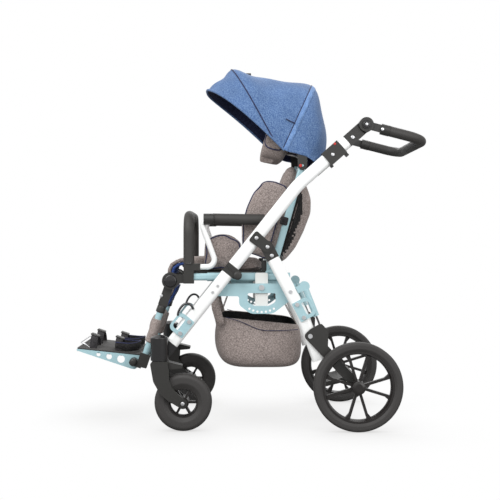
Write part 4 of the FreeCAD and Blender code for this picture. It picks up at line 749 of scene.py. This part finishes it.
ZIP_POINT = canopy_pivot + Vector((0.049, 0, 0.293))
ZIP_NORMAL = Vector((0.909, 0, -0.417))
SEAM_POINT = canopy_pivot + Vector((-0.249, 0, 0.363))
SEAM_NORMAL = (0.88, 0, 0.476)
hem_order = sorted(front_edge, key=lambda place: (round(place.y, 4), place.z if place.y < 0 else -place.z))
trims = [
    canopy_tape("canopy_front_seam", SEAM_POINT, SEAM_NORMAL, 0.004, navy_piping),
    canopy_tape("canopy_zip", ZIP_POINT, ZIP_NORMAL, 0.017, zip_cloth),
    canopy_tape("canopy_zip_edge", ZIP_POINT - ZIP_NORMAL * 0.010, ZIP_NORMAL, 0.003, navy_piping),
    wire("canopy_front_hem", "canopy", [hem_order], 0.0042, canopy_cloth),
    wire("canopy_flaps", "canopy", [[(0.124, y, 1.076), (0.140, y, 1.067), (0.156, y, 1.060)]
                                    for y in (-0.1902, 0.1902)], 0.0018, navy_piping),
]
print("canopy seams sewn")

# %% [markdown]
# The headrest is a padded shell with wings, on two steel posts.
# The CAD node holds the pad and its posts as separate islands, so a copy is split into them.

# %% Headrest
def islands(mesh):
    """Groups of vertices that hang together."""
    left = set(mesh.verts)
    found = []
    while left:
        queue = [left.pop()]
        group = list(queue)
        while queue:
            vert = queue.pop()
            for edge in vert.link_edges:
                other = edge.other_vert(vert)
                if other in left:
                    left.remove(other)
                    queue.append(other)
                    group.append(other)
        found.append(group)
    return sorted(found, key=len, reverse=True)


def breadth(group):
    return max(vert.co.y for vert in group) - min(vert.co.y for vert in group)


HEAD_WELT_INSET = 0.012
head_mesh = node_copy("headrest")
parts = sorted(islands(head_mesh), key=breadth, reverse=True)
post_mesh = head_mesh.copy()
post_parts = sorted(islands(post_mesh), key=breadth, reverse=True)
bmesh.ops.delete(head_mesh, geom=[vert for group in parts[1:] for vert in group], context="VERTS")
bmesh.ops.delete(post_mesh, geom=post_parts[0], context="VERTS")
head_cover = pad_from("headrest", "headrest", grey_cloth, 0.009, 0.005, mesh=head_mesh)
soften(head_cover, 30)
low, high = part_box("headrest")
plump(head_cover, (0.95, 1.0, 0.90), high)
add_piece("headrest_posts", post_mesh, bright_steel, "headrest")
for label, side in SIDES:
    line = Vector((0, side * (high[1] - HEAD_WELT_INSET), 0))
    welt(f"headrest_welt_{label}", head_cover, line, (0, 1, 0), WELT_RADIUS, "headrest", navy_piping)

# %% [markdown]
# The bag under the seat is a soft shell that sags between its straps.
# A loop the shape of the bag's rim is extruded downwards level by level, and each level is
# given its own length, width and slope, so the belly hangs lower than the corners.

# %% Basket
BASKET_LEVELS = [
    # front x, rear x, front z, rear z, half width
    (-0.113, 0.170, 0.383, 0.356, 0.172),
    (-0.122, 0.178, 0.360, 0.338, 0.176),
    (-0.129, 0.184, 0.322, 0.306, 0.178),
    (-0.128, 0.186, 0.276, 0.268, 0.178),
    (-0.118, 0.184, 0.238, 0.234, 0.175),
    (-0.098, 0.172, 0.210, 0.209, 0.166),
    (-0.060, 0.145, 0.196, 0.196, 0.140),
    (-0.010, 0.080, 0.190, 0.190, 0.070),
]
BASKET_CORNER = 0.36
RIM_SAG = 0.010
WALL_WAVE = 0.004
SIDE_WAVE = 0.003
basket = bmesh.new()
bmesh.ops.create_circle(basket, segments=64, radius=1.0)
ring = basket.edges[:]
for level in range(1, len(BASKET_LEVELS)):
    grown = bmesh.ops.extrude_edge_only(basket, edges=ring)["geom"]
    lower = [item for item in grown if isinstance(item, bmesh.types.BMVert)]
    bmesh.ops.translate(basket, verts=lower, vec=(0, 0, -1))
    ring = [item for item in grown if isinstance(item, bmesh.types.BMEdge)]
bmesh.ops.contextual_create(basket, geom=ring)
for vert in basket.verts:
    across, along, level = vert.co.y, vert.co.x, round(-vert.co.z)
    front, rear, front_z, rear_z, half = BASKET_LEVELS[level]
    along = math.copysign(abs(along) ** BASKET_CORNER, along)
    across = math.copysign(abs(across) ** BASKET_CORNER, across)
    share = (along + 1) / 2
    sag = (RIM_SAG * math.cos(across * 1.4) * (level == 0)
           + WALL_WAVE * math.sin(share * 9 + level) * (0 < level < 5))
    place_y = across * half + SIDE_WAVE * math.sin(share * 11 + level * 1.3) * (0 < level < 6)
    vert.co = (front + share * (rear - front), place_y, front_z + share * (rear_z - front_z) - sag)
bmesh.ops.recalc_face_normals(basket, faces=basket.faces)
basket_area = sum(face.calc_area() for face in basket.faces)
bag = add_piece("basket_cloth", basket, grey_cloth, "chassis")
bag.data.materials.append(black_cloth)
wall = bag.modifiers.new("cloth", "SOLIDIFY")
wall.thickness = 0.004
wall.offset = -1.0
wall.material_offset = 1
smooth = bag.modifiers.new("smooth", "SUBSURF")
smooth.levels = 2
smooth.render_levels = 2
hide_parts("basket")
print("basket cloth", round(basket_area, 3), "square metres")

# %% Basket straps
def ribbon(name, body, points, across, width, thickness, look):
    """Flat band along a row of points, made as a strip and then thickened."""
    mesh = bmesh.new()
    ends = [mesh.verts.new(points[0] + across * width * side / 2) for side in (-1, 1)]
    edge = mesh.edges.new(ends)
    for before, after in zip(points, points[1:]):
        grown = bmesh.ops.extrude_edge_only(mesh, edges=[edge])["geom"]
        bmesh.ops.translate(mesh, verts=[item for item in grown if isinstance(item, bmesh.types.BMVert)],
                            vec=after - before)
        edge = next(item for item in grown if isinstance(item, bmesh.types.BMEdge))
    bmesh.ops.recalc_face_normals(mesh, faces=mesh.faces)
    piece = add_piece(name, mesh, look, body)
    thick = piece.modifiers.new("thick", "SOLIDIFY")
    thick.thickness = thickness
    thick.offset = 0.0
    return piece


STRAP_WIDTH = 0.030
HANGER_SIDE = 0.125
HANGER_LOOP = 0.0125
CROSSWAYS = Vector((0, 1, 0))
HANGERS = [((-0.082, 0.482), (-0.109, 0.372)), ((0.108, 0.434), (0.164, 0.352))]
straps = []
for number, (bar, rim) in enumerate(HANGERS):
    for label, side in SIDES:
        top = Vector((bar[0], side * HANGER_SIDE, bar[1]))
        foot = Vector((rim[0], side * HANGER_SIDE, rim[1]))
        over = [top + Vector((HANGER_LOOP * math.cos(turn), 0, HANGER_LOOP * math.sin(turn)))
                for turn in (math.radians(30 * step) for step in range(12, -1, -1))]
        straps.append(ribbon(f"basket_hanger_{number}_{label}", "chassis", over + [foot],
                             CROSSWAYS, STRAP_WIDTH, 0.0025, grey_cloth))
for label, side in SIDES:
    line = [Vector((-0.126, side * 0.172, 0.446)), Vector((-0.121, side * 0.175, 0.410)),
            Vector((-0.110, side * 0.177, 0.372)), Vector((-0.106, side * 0.1775, 0.352))]
    straps.append(ribbon(f"basket_front_strap_{label}", "chassis", line, Vector((0.97, 0, 0.24)),
                         STRAP_WIDTH, 0.003, grey_cloth))
print(len(straps), "basket straps")

# %% [markdown]
# Small hardware tells the eye how big everything is: rivets, bolts, knobs and a few bent wires.
# Rivets are turned parts, so each is a short bevelled cone. They repeat on both sides,
# so one helper makes a whole row of them and its mirror image.

# %% Rivets and knobs
def studs(name, body, places, look, segments=24, sides=(-1, 1)):
    """Domed heads on outward faces, on one side of the stroller or both."""
    mesh = bmesh.new()
    for x, y, z, radius, height in places:
        place = Matrix.Translation((x, -y - height / 2, z)) @ Matrix.Rotation(math.radians(90), 4, "X")
        made = bmesh.ops.create_cone(mesh, cap_ends=True, segments=segments, radius1=radius,
                                     radius2=radius * 0.86, depth=height, matrix=place)
        rim = {edge for vert in made["verts"] for edge in vert.link_edges
               if all(abs(end.co.y + y + height) < 0.0001 for end in edge.verts)}
        round_edges(mesh, rim, height * 0.45)
    if sides == (-1, 1):
        halves = bmesh.ops.duplicate(mesh, geom=mesh.verts[:] + mesh.edges[:] + mesh.faces[:])["geom"]
        copies = [item for item in halves if isinstance(item, bmesh.types.BMVert)]
        bmesh.ops.scale(mesh, verts=copies, vec=(1, -1, 1))
    elif sides == (1,):
        bmesh.ops.scale(mesh, verts=mesh.verts, vec=(1, -1, 1))
    bmesh.ops.recalc_face_normals(mesh, faces=mesh.faces)
    return add_piece(name, mesh, look, body)


def turn_edges(piece, angle=40):
    """Smooth shading with crisp corners."""
    piece.data.set_sharp_from_angle(angle=math.radians(angle))


knee_pivot = joint_place("legrest_swing")
knee_place = (knee_pivot.x, 0.2017, knee_pivot.z)
caster_hub = joint_place("caster_spin_left")
caster_place = (caster_hub.x, 0.3072, caster_hub.z)
details = [
    studs("upper_rivets", "upper_frame",
          [(0.281, 0.2582, 0.944, 0.0065, 0.003), (0.350, 0.2532, 1.004, 0.007, 0.003),
           (0.019, 0.2572, 0.658, 0.007, 0.003), (0.057, 0.2572, 0.627, 0.007, 0.003)],
          bright_steel),
    studs("handle_rivets", "handle", [(0.451, 0.2592, 1.031, 0.006, 0.003)], bright_steel),
    studs("slider_marks", "release_sliders",
          [(0.288, 0.2582, 0.981, 0.0045, 0.0015)], red_plastic),
    studs("fold_knobs", "chassis",
          [(-0.0457, 0.2532, 0.5287, 0.0155, 0.010)], black_plastic),
    studs("knee_caps", "seat_front", [(*knee_place, 0.023, 0.006)], gloss_plastic, 40),
    studs("knee_bolts", "legrest", [(-0.313, 0.1822, 0.455, 0.0055, 0.002)], bright_steel),
    studs("caster_bolts_left", "caster_left",
          [(*caster_place, 0.007, 0.003)], bright_steel, sides=(-1,)),
    studs("caster_bolts_right", "caster_right",
          [(*caster_place, 0.007, 0.003)], bright_steel, sides=(1,)),
    studs("leg_cap_rivets", "rear_legs", [(0.072, 0.2527, 0.597, 0.007, 0.003)], bright_steel),
]
for piece in details:
    turn_edges(piece)
print(len(details), "rows of small hardware")

# %% More hardware
def blocks(name, body, places, look, soft=0.002):
    """Bevelled boxes, given by centre and size, on both sides of the stroller."""
    mesh = bmesh.new()
    for centre, size in places:
        for side in (-1, 1):
            made = bmesh.ops.create_cube(mesh, size=1.0)["verts"]
            bmesh.ops.scale(mesh, verts=made, vec=size)
            bmesh.ops.translate(mesh, verts=made, vec=(centre[0], centre[1] * side, centre[2]))
    round_edges(mesh, mesh.edges, soft)
    return add_piece(name, mesh, look, body)


blocks("recline_covers", "backrest", [((0.047, 0.189, 0.556), (0.018, 0.006, 0.048))],
       black_plastic)
blocks("canopy_clip", "canopy", [((-0.006, 0.004, 1.262), (0.022, 0.016, 0.014))],
       black_plastic)
studs("canopy_buttons", "canopy", [(0.176, 0.1842, 0.912, 0.006, 0.003)], red_plastic)
studs("foot_knobs", "foot_slide", [(-0.411, 0.1862, 0.223, 0.014, 0.012)], black_plastic, 8)
wire("tie_rods", "chassis",
     [[(-0.250, side * 0.2560, 0.392), (-0.251, side * 0.2590, 0.404), (-0.230, side * 0.2600, 0.434),
       (-0.204, side * 0.2590, 0.432), (-0.198, side * 0.2540, 0.414)] for side in (-1, 1)],
     0.0042, dark_steel)
print("covers, knobs and rods added")

# %% [markdown]
# The foot straps are woven webbing that arches over each foot and closes with a buckle.
# Webbing is flat and thin, so blowing it up would ruin it: a short edge is carried along an arch
# and then thickened. The CAD straps say where each arch stands.

# %% Foot straps
ARCH_RISE = 0.046
ARCH_STEPS = 24
BUCKLE_SIZE = (0.032, 0.034, 0.006)
BUCKLE_LEAN = math.radians(18)
strap_mesh = node_copy("foot_straps")
slope = Vector((0.95, 0, -0.31)).normalized()
for number, group in enumerate(islands(strap_mesh)):
    places = [vert.co for vert in group]
    low = Vector([min(place[axis] for place in places) for axis in range(3)])
    high = Vector([max(place[axis] for place in places) for axis in range(3)])
    middle = (low + high) / 2
    span = (high.y - low.y) / 2
    arch = []
    for step in range(ARCH_STEPS + 1):
        angle = math.radians(180 * step / ARCH_STEPS)
        arch.append(Vector((middle.x, middle.y + span * math.cos(angle),
                            high.z - ARCH_RISE + ARCH_RISE * math.sin(angle))))
    ribbon(f"foot_strap_{number}", "footplate", arch, slope, 0.026, 0.0018,
                               webbing)
    buckle = bmesh.new()
    made = bmesh.ops.create_cube(buckle, size=1.0)["verts"]
    bmesh.ops.scale(buckle, verts=made, vec=BUCKLE_SIZE)
    round_edges(buckle, buckle.edges, 0.003)
    bmesh.ops.rotate(buckle, verts=buckle.verts, matrix=Matrix.Rotation(BUCKLE_LEAN, 3, "Y"))
    bmesh.ops.translate(buckle, verts=buckle.verts, vec=(middle.x, middle.y, high.z + 0.002))
    add_piece(f"foot_buckle_{number}", buckle, black_plastic, "footplate")
strap_mesh.free()
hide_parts("foot_straps")

# %% [markdown]
# A dark rubber mat covers the footplate, with a wire hoop before the toes and a soft band
# behind each heel. The mat is a thin bevelled plate that leans with the footplate.

# %% Footplate mat, toe hoop and heel bands
foot_pivot = joint_place("footplate_flip")
FOOT_LEAN = math.radians(6)
MAT_SIZE = (0.229, 0.304, 0.005)
MAT_PLACE = (-0.091, 0, 0.0248)
HOOP_LINE = [(-0.165, -0.125, 0.028), (-0.190, -0.124, 0.042), (-0.203, -0.112, 0.040), (-0.203, 0, 0.040),
             (-0.203, 0.112, 0.040), (-0.190, 0.124, 0.042), (-0.165, 0.125, 0.028)]
HEEL_STEPS = 24
HEEL_BACK = -0.045
HEEL_DEPTH = 0.055
HEEL_ARM = 0.03
HEEL_SIDE = 0.074
HEEL_HALF = 0.052
HEEL_HEIGHT = 0.052
HEEL_DROP = 0.010
HEEL_WIDTH = 0.028
HEM_RISE = Vector((0, 0, 0.014))
lean = Matrix.Translation(foot_pivot) @ Matrix.Rotation(FOOT_LEAN, 4, "Y")
mat = bmesh.new()
made = bmesh.ops.create_cube(mat, size=1.0)["verts"]
bmesh.ops.scale(mat, verts=made, vec=MAT_SIZE)
round_edges(mat, mat.edges, 0.002)
bmesh.ops.translate(mat, verts=mat.verts, vec=MAT_PLACE)
bmesh.ops.transform(mat, matrix=lean, verts=mat.verts)
foot_mat = add_piece("foot_mat", mat, tyre_rubber, "footplate")
turn_edges(foot_mat)
hoop = [lean @ Vector(place) for place in HOOP_LINE]
wire("toe_hoop", "footplate", [hoop], 0.0022, bright_steel)
for label, side in SIDES:
    loop = []
    for step in range(HEEL_STEPS + 1):
        angle = math.radians(90 - 180 * step / HEEL_STEPS)
        outward = abs(math.sin(angle))
        loop.append(lean @ Vector((HEEL_BACK + HEEL_DEPTH * math.cos(angle) - HEEL_ARM * (outward > 0.99),
                                   side * HEEL_SIDE + HEEL_HALF * math.sin(angle),
                                   HEEL_HEIGHT - HEEL_DROP * outward)))
    hem = wire(f"heel_hem_{label}", "footplate", [[place + HEM_RISE for place in loop]], 0.0022,
               navy_piping)
    ribbon(f"heel_band_{label}", "footplate", loop, Vector((0.1, 0, 0.99)).normalized(),
           HEEL_WIDTH, 0.003, black_cloth)
print("footplate dressed")

# %% Seams, caps and linings
wire("basket_seams", "chassis",
     [[(-0.086, y, 0.379), (-0.050, y, 0.370), (-0.019, y, 0.3575), (0.014, y, 0.342), (0.044, y, 0.332),
       (0.110, y, 0.332), (0.168, y, 0.336)] for y in (-0.1795, 0.1795)], 0.0012, navy_piping)
cap_lines = [[(-0.164, y, 0.7235), (-0.150, y, 0.7235), (-0.129, y, 0.7235)] for y in (-0.205, 0.205)]
armrest_caps = wire("armrest_caps", "seat_front", cap_lines, 0.0206, black_plastic)
turn_edges(armrest_caps)
RING_HEIGHT = 0.0012
hinge = joint_place("handle_tilt")
for label, side in SIDES:
    face_y = max(abs(end[1]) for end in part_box(f"handle_button_{label}"))
    studs(f"handle_button_ring_{label}", f"handle_button_{label}",
          [(hinge.x, face_y, hinge.z, 0.0125, RING_HEIGHT)],
          gloss_plastic, 40, sides=(side,))
    studs(f"handle_button_star_{label}", f"handle_button_{label}",
          [(hinge.x, face_y + RING_HEIGHT, hinge.z, 0.0055, 0.001)], bright_steel, 6, sides=(side,))
APRON_WIDTH = 0.240
SEAT_FRONT = [(-0.236, 0, 0.579), (-0.262, 0, 0.575), (-0.281, 0, 0.563), (-0.289, 0, 0.546),
              (-0.290, 0, 0.530)]
SEAT_LINING = [(-0.236, 0, 0.567), (-0.258, 0, 0.562), (-0.272, 0, 0.552), (-0.277, 0, 0.538),
               (-0.277, 0, 0.526)]
KNEE_FRONT = [(-0.272, 0, 0.482), (-0.283, 0, 0.457), (-0.299, 0, 0.430), (-0.319, 0, 0.402)]
KNEE_BACK = [(-0.266, 0, 0.480), (-0.276, 0, 0.455), (-0.292, 0, 0.428), (-0.312, 0, 0.400)]
for name, body, line, thick, look, slot in (
        ("seat_apron", "seat", SEAT_FRONT, 0.012, grey_cloth, "grey_fabric"),
        ("seat_lining", "seat", SEAT_LINING, 0.010, blue_lining, "blue_fabric"),
        ("calf_apron", "legrest", KNEE_FRONT, 0.005, grey_cloth, "grey_fabric"),
        ("calf_lining", "legrest", KNEE_BACK, 0.005, blue_lining, "blue_fabric")):
    ribbon(name, body, [Vector(place) for place in line], CROSSWAYS, APRON_WIDTH, thick, look)
print("seams, caps and linings added")
